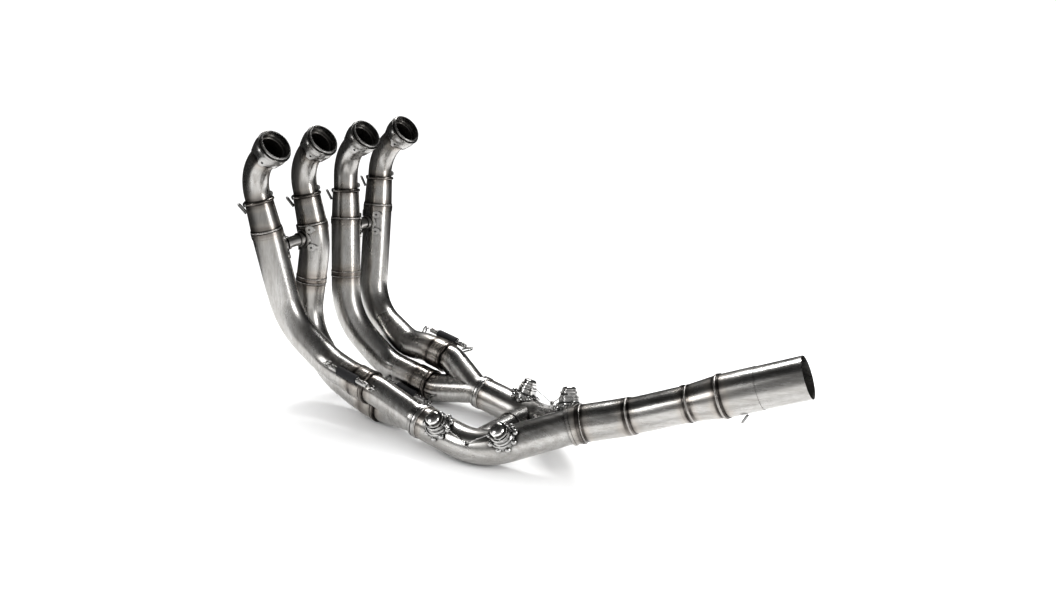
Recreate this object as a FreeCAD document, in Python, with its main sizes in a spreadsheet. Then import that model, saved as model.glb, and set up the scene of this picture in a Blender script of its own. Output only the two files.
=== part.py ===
import FreeCAD, Part
import math
import os
import Sketcher
from FreeCAD import Placement, Rotation, Vector

# Motorcycle exhaust header, four pipes into two into one, for an engine with four ports in a row.
# Millimetres. +X points to the outlet, +Y along the row of ports, +Z up, and the floor is z = 0.
# The pipes are numbered along +Y. Pipes 1 and 2 join on the near side (-Y), 3 and 4 on the far side.

SIZES = [
    ("port_spacing", 88, "between neighbouring ports"),
    ("ports_x", -322.8, "the port mouths, from the middle of the header's length"),
    ("ports_z", 395.8, "height of the port mouths"),
    ("port_tilt", 39.8, "the ports look up by this many degrees"),
    ("wall", 1.2, "wall of every tube"),
    ("weld_gap", 0.05, "radial clearance of a piece that is welded over a tube"),
    ("slip_gap", 0.2, "radial clearance of a sliding joint"),
    ("inlet_od", 36.5, "inlet bends"),
    ("inlet_bend_radius", 63, "centreline radius of the inlet bends"),
    ("inlet_end", 112, "where the inlet bends end, along the pipe from its mouth"),
    ("taper_start", 103.5, "where the taper cones start"),
    ("taper_end", 148.5, "where the taper cones end"),
    ("taper_mouth_od", 39.6, "taper cone at its mouth"),
    ("taper_end_od", 43.6, "taper cone at its large end"),
    ("pipe3_joint_shift", 11, "the slip joint of pipe 3 sits further down"),
    ("bead_thickness", 4.4, "rolled bead at the mouth of a taper cone"),
    ("primary_od", 44.5, "primary tubes"),
    ("band_od", 46.2, "band at the start of a primary tube"),
    ("band_start", 150.3, "where the band starts"),
    ("band_width", 7.5, "width of the band"),
    ("seam_band_od", 45.6, "band over the seam halfway down pipes 2 and 3"),
    ("pipe2_seam_at", 231, "seam of pipe 2, along the pipe"),
    ("pipe3_seam_at", 243, "seam of pipe 3, along the pipe"),
    ("bend_share", 0.47, "share of the shorter run beside a bend that the bend takes"),
    ("collar_length", 29, "inlet collar from the end of its skirt to its mouth"),
    ("collar_bore", 41.4, "seat for the port's spigot"),
    ("collar_seat", 12, "depth of that seat"),
    ("collar_web", 4, "ring behind the seat that is welded to the bend"),
    ("lip_od", 46, "lip at the collar's mouth"),
    ("lip_width", 2.8, "width of the lip"),
    ("lip_chamfer", 0.8, "chamfer of the lip"),
    ("collar_groove_od", 43.4, "groove below the lip"),
    ("collar_groove", 1.6, "width of that groove"),
    ("rim_od", 50, "flared rim below the groove"),
    ("rim_width", 2, "width of the rim"),
    ("waist_od", 45.8, "collar just behind the rim"),
    ("collar_step", 0.4, "sloped sides of the groove and the rim"),
    ("skirt_od", 48.8, "skirt at the web"),
    ("skirt_end_od", 43.6, "skirt at its end, round the bend"),
    ("skirt_wall", 1.7, "thickness of the skirt"),
    ("skirt_tabs", 6, "tabs round the end of the skirt"),
    ("skirt_scallop", 15, "diameter of the round cut between two tabs"),
    ("tab_hole", 3.6, "hole of a tab"),
    ("tab_hole_at", 7.5, "from the end of a tab to its hole"),
    ("skirt_turn", 6, "turn of the tabs round the port's axis"),
    ("pipe1_run", 69, "port mouth to the corner of the inlet bend"),
    ("pipe1_knee_x", -15.9, "pipe 1, knee, from its port mouth"),
    ("pipe1_knee_y", 35.8, "pipe 1, knee, from its port mouth"),
    ("pipe1_knee_z", 128.9, "pipe 1, knee, above the floor"),
    ("pipe1_low_ahead", 177.0, "pipe 1, lower corner, ahead of the collector ring"),
    ("pipe1_low_y", 49, "pipe 1, lower corner, from its port mouth"),
    ("pipe1_low_z", 79.7, "pipe 1, lower corner, above the floor"),
    ("pipe2_run", 65, "port mouth to the corner of the inlet bend"),
    ("waist_radius", 150, "centreline radius of the slight bend of pipe 2"),
    ("pipe2_waist_x", -28.2, "pipe 2, slight bend, from its port mouth"),
    ("pipe2_waist_y", 10.5, "pipe 2, slight bend, from its port mouth"),
    ("pipe2_waist_z", 238, "pipe 2, slight bend, above the floor"),
    ("pipe2_knee_x", -37.6, "pipe 2, knee, from its port mouth"),
    ("pipe2_knee_y", -0.6, "pipe 2, knee, from its port mouth"),
    ("pipe2_knee_z", 108.3, "pipe 2, knee, above the floor"),
    ("pipe2_low_ahead", 204.2, "pipe 2, lower corner, ahead of the collector ring"),
    ("pipe2_low_y", -5.3, "pipe 2, lower corner, from its port mouth"),
    ("pipe2_low_z", 48.4, "pipe 2, lower corner, above the floor"),
    ("pipe3_run", 71, "port mouth to the corner of the inlet bend"),
    ("pipe3_bend_radius", 52, "centreline radius of the inlet bend of pipe 3"),
    ("pipe3_neck", 28, "port mouth to the sideways bend behind the collar"),
    ("pipe3_lean", 10, "sideways reach of the inlet bend of pipe 3"),
    ("pipe3_knee_x", -27.3, "pipe 3, knee, from its port mouth"),
    ("pipe3_knee_y", -13.9, "pipe 3, knee, from its port mouth"),
    ("pipe3_knee_z", 104.2, "pipe 3, knee, above the floor"),
    ("pipe3_low_ahead", 182.7, "pipe 3, lower corner, ahead of the collector ring"),
    ("pipe3_low_y", 8.5, "pipe 3, lower corner, from its port mouth"),
    ("pipe3_low_z", 36.1, "pipe 3, lower corner, above the floor"),
    ("pipe4_run", 70, "port mouth to the corner of the inlet bend"),
    ("pipe4_knee_x", -37.2, "pipe 4, knee, from its port mouth"),
    ("pipe4_knee_y", -32.6, "pipe 4, knee, from its port mouth"),
    ("pipe4_knee_z", 100.3, "pipe 4, knee, above the floor"),
    ("pipe4_low_ahead", 167.7, "pipe 4, lower corner, ahead of the collector ring"),
    ("pipe4_low_y", -48, "pipe 4, lower corner, from its port mouth"),
    ("pipe4_low_z", 65.6, "pipe 4, lower corner, above the floor"),
    ("collector_reach", 226.1, "port mouths to the collector rings, along X"),
    ("collector_side", 69.3, "collector rings from the middle plane, along Y"),
    ("collector_z", 32.77, "height of the collector rings"),
    ("collector_pitch", 7.35, "the collectors slope down by this many degrees"),
    ("collector_roll", 36.5, "the paired pipes lean outwards by this many degrees"),
    ("pair_clear", 0.7, "clearance between the sleeves of paired pipes"),
    ("approach", 135, "last corner of a primary, ahead of the collector ring"),
    ("sleeve_start", 120, "start of the slip sleeves, ahead of the collector ring"),
    ("sleeve_lead", 2, "straight stretch of a primary before its sleeve"),
    ("sleeve_end", 90, "end of the slip sleeves, ahead of the collector ring"),
    ("sleeve_socket", 8, "depth of the sleeve over the primary's end"),
    ("sleeve_wall", 2.05, "wall of the slip sleeves round the legs"),
    ("socket_wall", 1.35, "least wall of the slip sleeves round the primaries"),
    ("sleeve_groove", 1, "depth of the groove near a sleeve's end"),
    ("sleeve_groove_at", 6.4, "groove from the sleeve's end"),
    ("sleeve_groove_width", 1.6, "width of that groove"),
    ("sleeve_bead", 0.9, "height of the rolled bead at a sleeve's end"),
    ("sleeve_slope", 0.8, "sloped sides of the groove and the bead"),
    ("leg_od", 42.8, "collector legs"),
    ("sleeve_radius", "=max(leg_od / 2 + slip_gap + sleeve_wall; primary_od / 2 + weld_gap + socket_wall)",
     "outside of the slip sleeves"),
    ("pair_offset", "=sleeve_radius + sleeve_bead + pair_clear / 2", "a paired pipe from the collector's axis"),
    ("leg_start", 110, "start of the legs inside the sleeves, ahead of the ring"),
    ("leg_corner", 82, "outer corner of the legs, ahead of the ring"),
    ("leg_join", 20, "inner corner of the legs, ahead of the ring"),
    ("leg_radius", 40, "centreline radius of the legs' bends"),
    ("seam_margin", 10, "how far the seam plane reaches past the legs"),
    ("ring_length", 12, "collector rings"),
    ("ring_stand", 1, "collector rings above the secondary pipes"),
    ("ring_groove", 1.4, "groove between the two beads of a collector ring"),
    ("ring_groove_at", 5.2, "groove from the ring's front"),
    ("ring_groove_width", 1.2, "width of that groove"),
    ("ring_slope", 1.6, "sloped ends of a collector ring"),
    ("secondary_od", 48, "secondary pipes"),
    ("secondary_run", 100.4, "collector ring to the secondary's corner"),
    ("secondary_radius", 106, "centreline radius of the secondaries"),
    ("merge_x", 208.2, "where the secondaries meet, from the collector rings"),
    ("merge_y", -4.7, "where the secondaries meet, from the middle plane"),
    ("merge_z", 73.6, "where the secondaries meet, above the floor"),
    ("merge_radius", 120, "centreline radius at the merge"),
    ("merge_start", 224, "start of the merge ring along the near secondary"),
    ("merge_reach", 104, "how far before the merge ring each secondary is bored through the other"),
    ("merge_length", 18.5, "merge ring"),
    ("merge_ring_od", 52.4, "merge ring"),
    ("merge_od", 50.8, "merge tube"),
    ("kink_x", 272.8, "slight bend behind the merge, from the collector rings"),
    ("kink_y", 21.1, "slight bend behind the merge, from the middle plane"),
    ("kink_z", 96.5, "slight bend behind the merge, above the floor"),
    ("kink_radius", 300, "centreline radius of that bend"),
    ("link_start", 308, "start of the link tube along the near chain"),
    ("link_od", 48, "link tube"),
    ("cone_start", 391, "start of the outlet cone along the near chain"),
    ("cone_end", 432.5, "end of the outlet cone along the near chain"),
    ("outlet_od", 56, "outlet pipe"),
    ("outlet_end", 541.6, "outlet mouth along the near chain"),
    ("outlet_x", 478.8, "outlet mouth, from the collector rings"),
    ("outlet_y", 75.3, "outlet mouth, from the middle plane"),
    ("outlet_z", 193.7, "outlet mouth, above the floor"),
    ("outlet_slip_od", 55, "sized end of the outlet pipe, for the next pipe's sleeve"),
    ("outlet_slip", 60, "length of that end"),
    ("main_band", 4, "width of the bands over the main pipe's seams"),
    ("main_band_rise", 1, "height of those bands"),
    ("link_band_back", 8, "second band of the link tube, ahead of the cone"),
    ("balance_od", 39, "balance tube between the secondaries"),
    ("balance_at", 87, "balance tube along each secondary from its ring"),
    ("balance_sleeve_od", 43, "sleeve of the balance tube"),
    ("balance_sleeve_length", 16, "length of that sleeve"),
    ("balance_sleeve_at", 51.2, "start of that sleeve from the far secondary's axis"),
    ("balance_sleeve_edge", 0.6, "chamfer of that sleeve"),
    ("crossover_od", 16.5, "crossover tubes between the primaries"),
    ("crossover1_at", 176.8, "crossover along pipe 1"),
    ("crossover2_at", 167.4, "crossover along pipe 2"),
    ("crossover3_at", 172, "crossover along pipe 3"),
    ("crossover4_at", 176.2, "crossover along pipe 4"),
    ("crossover_collar", 4.6, "width of the collars at a crossover's ends"),
    ("crossover_collar_od", 20.5, "collars at a crossover's ends"),
    ("saddle_long", 38, "lobed saddle along its pipe"),
    ("saddle_wide", 39, "lobed saddle across its pipe"),
    ("saddle_middle", 27, "round middle of a saddle"),
    ("saddle_lobe", 11, "lobe of a saddle"),
    ("saddle_hole", 3, "hole of a lobe"),
    ("saddle_thickness", 1.8, "sheet of the saddle"),
    ("bung_near1_at", 35.3, "first sensor bung along the near secondary"),
    ("bung_near2_at", 136.7, "second sensor bung along the near secondary"),
    ("bung_far1_at", 65.3, "first sensor bung along the far secondary"),
    ("bung_far2_at", 209.3, "second sensor bung along the far secondary"),
    ("bung_height", 12.5, "bung above its pipe"),
    ("bung_base", 3.4, "lobed base of a bung above its pipe"),
    ("bung_base_od", 36, "lobed base of a bung"),
    ("bung_od", 28, "bung"),
    ("bung_bore", 18, "bore of a bung"),
    ("bung_depth", 8, "bung below its pipe's surface"),
    ("bung_edge", 1, "chamfers of a bung"),
    ("bung_foot", 1.5, "slope where a bung meets its base, outwards"),
    ("bung_foot_height", 2, "the same slope, upwards"),
    ("lobes", 9, "round lobes about a bung's base"),
    ("lobe_od", 9, "lobe of a bung's base"),
    ("lobe_rise", 2.2, "middle of a lobe above the pipe"),
    ("plug_hex", 22, "plug across its flats"),
    ("plug_hex_height", 3, "hexagon of a plug"),
    ("plug_flange_od", 25, "flange of a plug"),
    ("plug_flange", 2.4, "thickness of a plug's flange"),
    ("plug_dome_od", 20, "dome of a plug"),
    ("plug_dome", 6.5, "height of the dome"),
    ("washer_od", 26, "sealing washer under a plug"),
    ("washer_thickness", 1.5, "thickness of the washer"),
    ("hook_wire", 2.6, "wire of the hooks"),
    ("hook_width", 7, "width of a hook between its legs"),
    ("hook_reach", 9, "lean of a spring's hook along its pipe"),
    ("hook_round", 0.96, "bend radius of a hook's tip, in halves of its width"),
    ("joint_hook_rise", 9, "tip of a joint hook above its feet"),
    ("joint_hook_reach", 15, "lean of a joint hook along its pipe"),
    ("rest_gap", 0.3, "rest clearance between a spring and what it passes"),
    ("joint_hook_at", 121, "feet of the hook on a taper cone, along the pipe"),
    ("lug_od", 6.4, "lug beside the hook"),
    ("lug_hole", 2.2, "hole of the lug"),
    ("lug_thickness", 1.6, "thickness of the lug"),
    ("tab_at", 98, "tab on an inlet bend, along the pipe"),
    ("tab_od", 8, "tab on an inlet bend"),
    ("tab_thickness", 2.4, "thickness of the tab"),
    ("spring_span", 94, "from bar to bar of a spring's two hooks"),
    ("spring_front", 158, "feet of a spring's front hook, ahead of the collector ring"),
    ("spring_rear", 82, "feet of a spring's rear hook, ahead of the collector ring"),
    ("spring_loop", 10, "from the middle of a spring's end loop to its coil"),
    ("spring_od", 8.4, "coil of a spring"),
    ("spring_wire", 1.7, "wire of a spring"),
    ("rubber_start", 27, "from the front loop's middle to the rubber sleeve"),
    ("rubber_od", 13, "rubber sleeve over a spring"),
    ("rubber_length", 36, "length of a rubber sleeve"),
    ("safety_wire_od", 1.5, "twisted safety wire"),
    ("wire_radius", 6, "bend of a safety wire at its clip"),
    ("clip_rise", 2.5, "a safety wire's bend above its pipe"),
    ("clip_od", 5.8, "clip of a safety wire"),
    ("clip_thickness", 2, "thickness of the clip"),
    ("clip_seat", 30, "stretch of the pipe on each side that a clip is fitted to"),
    ("outlet_hook_at", 458, "hook on the outlet pipe, along the near chain"),
]

doc = FreeCAD.newDocument("exhaust_header")
sheet = doc.addObject("Spreadsheet::Sheet", "Sizes")
for row, (alias, value, note) in enumerate(SIZES, start=1):
    sheet.set("A%d" % row, alias)
    sheet.set("B%d" % row, str(value))
    sheet.set("C%d" % row, note)
    sheet.setAlias("B%d" % row, alias)
doc.recompute()


class Measure:
    """A size, or a sum or share of sizes, as its value and as the text that binds a property to it."""

    def __init__(self, value, text):
        self.value = float(value)
        self.text = text

    def join(self, sign, other, value):
        text = other.text if isinstance(other, Measure) else repr(float(other))
        return Measure(value, "(%s %s %s)" % (self.text, sign, text))

    def __add__(self, other):
        return self.join("+", other, self.value + number(other))

    def __sub__(self, other):
        return self.join("-", other, self.value - number(other))

    def __mul__(self, other):
        return self.join("*", other, self.value * number(other))

    def __truediv__(self, other):
        return self.join("/", other, self.value / number(other))


def number(value):
    return value.value if isinstance(value, Measure) else float(value)


def size(alias):
    """The value in the sheet."""
    return float(sheet.get(alias))


def cell(alias):
    """The sheet's value as a measure that can be bound."""
    return Measure(size(alias), "Sizes." + alias)


def bind(thing, prop, measure):
    if isinstance(measure, Measure):
        thing.setExpression(prop, measure.text)
    else:
        setattr(thing, prop, measure)


def facing(point, axis, side=Vector(0, 0, 1)):
    """A placement at the point, with Z along the axis and X as near to the side as it can be."""
    z = Vector(axis).normalize()
    x = side - z * z.dot(side)
    if x.Length < 0.01:
        x = Vector(1, 0, 0) - z * z.x
    x.normalize()
    y = z.cross(x)
    matrix = FreeCAD.Matrix(
        x.x, y.x, z.x, point.x,
        x.y, y.y, z.y, point.y,
        x.z, y.z, z.z, point.z,
        0, 0, 0, 1,
    )
    return Placement(matrix)


class Straight:
    """A straight run of a route."""

    def __init__(self, start, end):
        self.start = start
        self.length = (end - start).Length
        self.along = (end - start).normalize()

    def point(self, reach):
        return self.start + self.along * reach

    def tangent(self, reach):
        return Vector(self.along)

    def edge(self, first, last):
        return Part.LineSegment(self.point(first), self.point(last)).toShape()


class Bend:
    """A bend of a route: an arc that is tangent to the runs on both sides."""

    def __init__(self, start, along, inwards, radius, turn):
        self.centre = start + inwards * radius
        self.outwards = inwards * -1
        self.along = along
        self.radius = radius
        self.length = radius * turn

    def point(self, reach):
        turn = reach / self.radius
        return self.centre + (self.outwards * math.cos(turn) + self.along * math.sin(turn)) * self.radius

    def tangent(self, reach):
        turn = reach / self.radius
        return self.along * math.cos(turn) - self.outwards * math.sin(turn)

    def edge(self, first, last):
        middle = (first + last) / 2
        return Part.Arc(self.point(first), self.point(middle), self.point(last)).toShape()


class Route:
    """A centreline of straight runs and bends through corners, each given as (point, radius).

    A corner whose radius is None takes the largest bend that bend_share of its shorter run allows.
    """

    def __init__(self, corners):
        self.pieces = []
        here = corners[0][0]
        for index in range(1, len(corners) - 1):
            corner, radius = corners[index]
            before = corner - corners[index - 1][0]
            after = corners[index + 1][0] - corner
            turn = before.getAngle(after)
            if radius is None:
                radius = size("bend_share") * min(before.Length, after.Length) / math.tan(turn / 2)
            reach = radius * math.tan(turn / 2)
            along = before.normalize()
            onwards = after.normalize()
            bend_start = corner - along * reach
            inwards = (onwards - along * along.dot(onwards)).normalize()
            self.pieces.append(Straight(here, bend_start))
            self.pieces.append(Bend(bend_start, along, inwards, radius, turn))
            here = corner + onwards * reach
        self.pieces.append(Straight(here, corners[-1][0]))
        self.length = sum(piece.length for piece in self.pieces)

    def find(self, station):
        start = 0
        for piece in self.pieces:
            if station <= start + piece.length or piece is self.pieces[-1]:
                return piece, station - start
            start += piece.length

    def point(self, station):
        piece, reach = self.find(station)
        return piece.point(reach)

    def tangent(self, station):
        piece, reach = self.find(station)
        return piece.tangent(reach)

    def across(self, station, side):
        """The direction square to the route that lies nearest to the given side."""
        along = self.tangent(station)
        return (side - along * along.dot(side)).normalize()

    def edges(self, first, last):
        """The edges of the stretch between two stations, past the ends too."""
        found = []
        start = 0
        for piece in self.pieces:
            low = first - start if piece is self.pieces[0] else max(first - start, 0)
            high = last - start if piece is self.pieces[-1] else min(last - start, piece.length)
            if high - low > 0.01:
                found.append(piece.edge(low, high))
            start += piece.length
        return found


def spine(name, route, first, last):
    """The stretch of a route as a wire that a section is swept along."""
    made = doc.addObject("Part::Feature", name + "_route")
    made.Shape = Part.Wire(route.edges(first, last))
    return made


def section(name, route, station, diameter):
    """A circle square to the route."""
    made = doc.addObject("Part::Circle", name)
    bind(made, "Radius", diameter / 2)
    made.Placement = facing(route.point(station), route.tangent(station))
    return made


def rod(name, route, first, last, diameter, end_diameter=None):
    """A round solid along a stretch of a route, tapered if it has an end diameter."""
    path = spine(name, route, first, last)
    sections = [section(name + "_section", route, first, diameter)]
    if end_diameter is not None:
        sections.append(section(name + "_end_section", route, last, end_diameter))
    made = doc.addObject("Part::Sweep", name)
    made.Sections = sections
    made.Spine = (path, ["Edge%d" % (n + 1) for n in range(len(path.Shape.Edges))])
    made.Solid = True
    made.Frenet = False
    return made


def fused(name, pieces):
    made = doc.addObject("Part::MultiFuse", name)
    made.Shapes = pieces
    return made


def cut(name, base, tool):
    made = doc.addObject("Part::Cut", name)
    made.Base = base
    made.Tool = tool
    return made


def common(name, base, tool):
    made = doc.addObject("Part::Common", name)
    made.Base = base
    made.Tool = tool
    return made


def torus(name, route, station, diameter, thickness):
    """A bead round a route at a station."""
    made = doc.addObject("Part::Torus", name)
    bind(made, "Radius1", diameter / 2)
    bind(made, "Radius2", thickness / 2)
    made.Placement = facing(route.point(station), route.tangent(station))
    return made


def disc(name, placement, diameter, length):
    """A cylinder from the placement along its Z."""
    made = doc.addObject("Part::Cylinder", name)
    bind(made, "Radius", diameter / 2)
    bind(made, "Height", length)
    made.Placement = placement
    return made


def tube(name, route, first, last, diameter, end_diameter=None, extras=(), tools=()):
    """A tube along a stretch of a route. Extras are fused to its outside, tools are cut from it."""
    twice_wall = cell("wall") * 2
    outer = rod(name + "_outer", route, first, last, diameter, end_diameter)
    inner_end = None if end_diameter is None else end_diameter - twice_wall
    inner = rod(name + "_inner", route, first, last, diameter - twice_wall, inner_end)
    body = fused(name + "_outside", [outer] + list(extras)) if extras else outer
    hollow = fused(name + "_inside", [inner] + list(tools)) if tools else inner
    return cut(name, body, hollow)


def sketch_on(body, role, name, height=None):
    """A sketch on one of the body's own origin planes, lifted by a height."""
    sketch = body.newObject("Sketcher::SketchObject", name)
    plane = [item for item in body.Origin.OriginFeatures if item.Role == role][0]
    sketch.AttachmentSupport = [(plane, "")]
    sketch.MapMode = "FlatFace"
    if height is not None:
        bind(sketch, "AttachmentOffset.Base.z", height)
    return sketch


def fix_point(sketch, geometry, end, across, up):
    """Places one end of a line or arc by its two distances from the sketch's origin."""
    for kind, measure in (("DistanceX", across), ("DistanceY", up)):
        index = sketch.addConstraint(Sketcher.Constraint(kind, -1, 1, geometry, end, number(measure)))
        if isinstance(measure, Measure):
            sketch.setExpression("Constraints[%d]" % index, measure.text)


def draw_polygon(sketch, corners):
    """A closed outline of straight lines with both distances of each corner bound."""
    points = [Vector(number(across), number(up), 0) for across, up in corners]
    count = len(points)
    for index in range(count):
        line = Part.LineSegment(points[index], points[(index + 1) % count])
        sketch.addGeometry(line, False)
    for index in range(count):
        sketch.addConstraint(Sketcher.Constraint("Coincident", index, 2, (index + 1) % count, 1))
    for index, (across, up) in enumerate(corners):
        fix_point(sketch, index, 1, across, up)


def draw_circle(sketch, up, diameter):
    """A circle on the sketch's Y axis."""
    centre = Vector(0, number(up), 0)
    circle = sketch.addGeometry(Part.Circle(centre, Vector(0, 0, 1), number(diameter) / 2), False)
    fix_point(sketch, circle, 3, 0, up)
    index = sketch.addConstraint(Sketcher.Constraint("Diameter", circle, number(diameter)))
    if isinstance(diameter, Measure):
        sketch.setExpression("Constraints[%d]" % index, diameter.text)


def turned(name, corners, placement):
    """A body turned about its own Z from corners given as (radius, height)."""
    body = doc.addObject("PartDesign::Body", name)
    sketch = sketch_on(body, "XZ_Plane", name + "_profile")
    draw_polygon(sketch, corners)
    revolution = body.newObject("PartDesign::Revolution", name + "_turning")
    revolution.Profile = sketch
    revolution.ReferenceAxis = (sketch, ["V_Axis"])
    revolution.Angle = 360
    body.Placement = placement
    return body


def pattern(body, features, count_alias):
    """Copies of features evenly round the body's Z."""
    made = body.newObject("PartDesign::PolarPattern", body.Name + "_pattern")
    made.Originals = features
    axis = [item for item in body.Origin.OriginFeatures if item.Role == "Z_Axis"][0]
    made.Axis = (axis, [""])
    made.Angle = 360
    made.setExpression("Occurrences", "Sizes." + count_alias)
    body.Tip = made
    return made


nodes = []


def node(made):
    """Keeps an object as one of the header's own pieces."""
    nodes.append(made)
    return made


# The routes of the four pipes, from port mouth to the end of the slip sleeve.

tilt = math.radians(size("port_tilt"))
port_axis = Vector(math.cos(tilt), 0, math.sin(tilt))
pitch = math.radians(size("collector_pitch"))
roll = math.radians(size("collector_roll"))
down_axis = Vector(math.cos(pitch), 0, -math.sin(pitch))
pitch_up = Vector(math.sin(pitch), 0, math.cos(pitch))


def port(number_of_pipe):
    return Vector(size("ports_x"), (number_of_pipe - 2.5) * size("port_spacing"), size("ports_z"))


def side_of(number_of_pipe):
    """-1 on the near side, 1 on the far side."""
    return -1 if number_of_pipe < 3 else 1


def ring_centre(side):
    return Vector(
        size("ports_x") + size("collector_reach"),
        side * size("collector_side"),
        size("collector_z"),
    )


def pair_axis(side):
    """From the collector's axis towards the upper, outer pipe of the pair."""
    return pitch_up * math.cos(roll) + Vector(0, side * math.sin(roll), 0)


def beside(number_of_pipe, ahead):
    """The point on a paired pipe's axis, so far ahead of the collector ring."""
    side = side_of(number_of_pipe)
    outer = 1 if number_of_pipe in (1, 4) else -1
    offset = pair_axis(side) * (outer * size("pair_offset"))
    return ring_centre(side) - down_axis * ahead + offset


def pipe_route(number_of_pipe, bends, neck=None, lean=0):
    mouth = port(number_of_pipe)
    corners = [(mouth, None)]
    radius = size("inlet_bend_radius")
    if neck is not None:
        radius = size("pipe3_bend_radius")
        corners.append((mouth - port_axis * neck, radius / 2))
    inlet_corner = mouth - port_axis * size("pipe%d_run" % number_of_pipe) + Vector(0, lean, 0)
    corners.append((inlet_corner, radius))
    for bend in bends:
        name = "pipe%d_%s" % (number_of_pipe, bend)
        along = size("collector_reach") - size(name + "_ahead") if bend == "low" else size(name + "_x")
        corner = Vector(mouth.x + along, mouth.y + size(name + "_y"), size(name + "_z"))
        corners.append((corner, size("waist_radius") if bend == "waist" else None))
    approach = beside(number_of_pipe, size("approach"))
    turn = (approach - corners[-1][0]).getAngle(down_axis)
    straight_from = size("sleeve_start") + size("sleeve_lead")
    corners.append((approach, (size("approach") - straight_from) / math.tan(turn / 2)))
    corners.append((beside(number_of_pipe, size("sleeve_end")), None))
    return Route(corners)


pipes = {
    1: pipe_route(1, ["knee", "low"]),
    2: pipe_route(2, ["waist", "knee", "low"]),
    3: pipe_route(3, ["knee", "low"], size("pipe3_neck"), size("pipe3_lean")),
    4: pipe_route(4, ["knee", "low"]),
}


def leg_route(number_of_pipe):
    side = side_of(number_of_pipe)
    return Route([
        (beside(number_of_pipe, size("leg_start")), None),
        (beside(number_of_pipe, size("leg_corner")), size("leg_radius")),
        (ring_centre(side) - down_axis * size("leg_join"), size("leg_radius")),
        (ring_centre(side) - down_axis * size("ring_length"), None),
    ])


def past_rings(prefix):
    """A corner of the main pipe, whose X counts from the collector rings."""
    return Vector(ring_centre(1).x + size(prefix + "_x"), size(prefix + "_y"), size(prefix + "_z"))


def secondary_corners(side):
    centre = ring_centre(side)
    corner = centre + down_axis * size("secondary_run")
    return [(centre, None), (corner, size("secondary_radius"))]


near_chain = Route(secondary_corners(-1) + [
    (past_rings("merge"), size("merge_radius")),
    (past_rings("kink"), size("kink_radius")),
    (past_rings("outlet"), None),
])
far_chain = Route(secondary_corners(1) + [(past_rings("merge"), None)])
chains = {-1: near_chain, 1: far_chain}
side_names = {-1: "near", 1: "far"}


def inlet_collar(number_of_pipe):
    """A turned collar with a lip, a groove, a flared rim and a skirt that is scalloped into tabs."""
    name = "inlet_collar_%d" % number_of_pipe
    length = cell("collar_length")
    seat = length - cell("collar_seat")
    web = seat - cell("collar_web")
    bore = cell("inlet_od") / 2 + cell("weld_gap")
    lip = length - cell("lip_width")
    groove = lip - cell("collar_groove")
    rim = groove - cell("rim_width")
    step = cell("collar_step")
    back = port(number_of_pipe) - port_axis * size("collar_length")
    turn = math.radians(size("skirt_turn"))
    side = Vector(0, math.cos(turn), 0) + port_axis.cross(Vector(0, 1, 0)) * math.sin(turn)
    body = turned(name, [
        (bore, web),
        (cell("skirt_od") / 2 - cell("skirt_wall"), web),
        (cell("skirt_end_od") / 2 - cell("skirt_wall"), 0),
        (cell("skirt_end_od") / 2, 0),
        (cell("skirt_od") / 2, web),
        (cell("skirt_od") / 2, seat),
        (cell("waist_od") / 2, rim - step),
        (cell("rim_od") / 2, rim),
        (cell("rim_od") / 2, groove),
        (cell("collar_groove_od") / 2, groove + step),
        (cell("collar_groove_od") / 2, lip - step),
        (cell("lip_od") / 2, lip),
        (cell("lip_od") / 2, length - cell("lip_chamfer")),
        (cell("lip_od") / 2 - cell("lip_chamfer"), length),
        (cell("collar_bore") / 2, length),
        (cell("collar_bore") / 2, seat),
        (bore, seat),
    ], facing(back, port_axis, side))
    holes = side_pocket(body, name + "_hole", cell("tab_hole_at"), cell("tab_hole"))
    scallops = side_pocket(body, name + "_scallop", 0, cell("skirt_scallop"))
    scallops.Profile[0].AttachmentOffset = Placement(Vector(), FreeCAD.Rotation(Vector(0, 1, 0), 1))
    scallops.Profile[0].setExpression("AttachmentOffset.Rotation.Angle", "180 deg / Sizes.skirt_tabs")
    pattern(body, [holes, scallops], "skirt_tabs")
    return node(body)


def side_pocket(body, name, height, diameter):
    """A round cut from the body's axis out through one side, at a height."""
    sketch = sketch_on(body, "XZ_Plane", name + "_outline")
    draw_circle(sketch, height, diameter)
    pocket = body.newObject("PartDesign::Pocket", name)
    pocket.Profile = sketch
    bind(pocket, "Length", cell("rim_od") / 2)
    return pocket


bands = {}


def joint_shift(number_of_pipe):
    """How much further down its slip joint sits than on the other pipes."""
    return size("pipe3_joint_shift") if number_of_pipe == 3 else 0


def primary_end(route):
    """Where a primary ends inside its sleeve."""
    return route.length - (size("sleeve_start") - size("sleeve_socket") - size("sleeve_end"))


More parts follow.
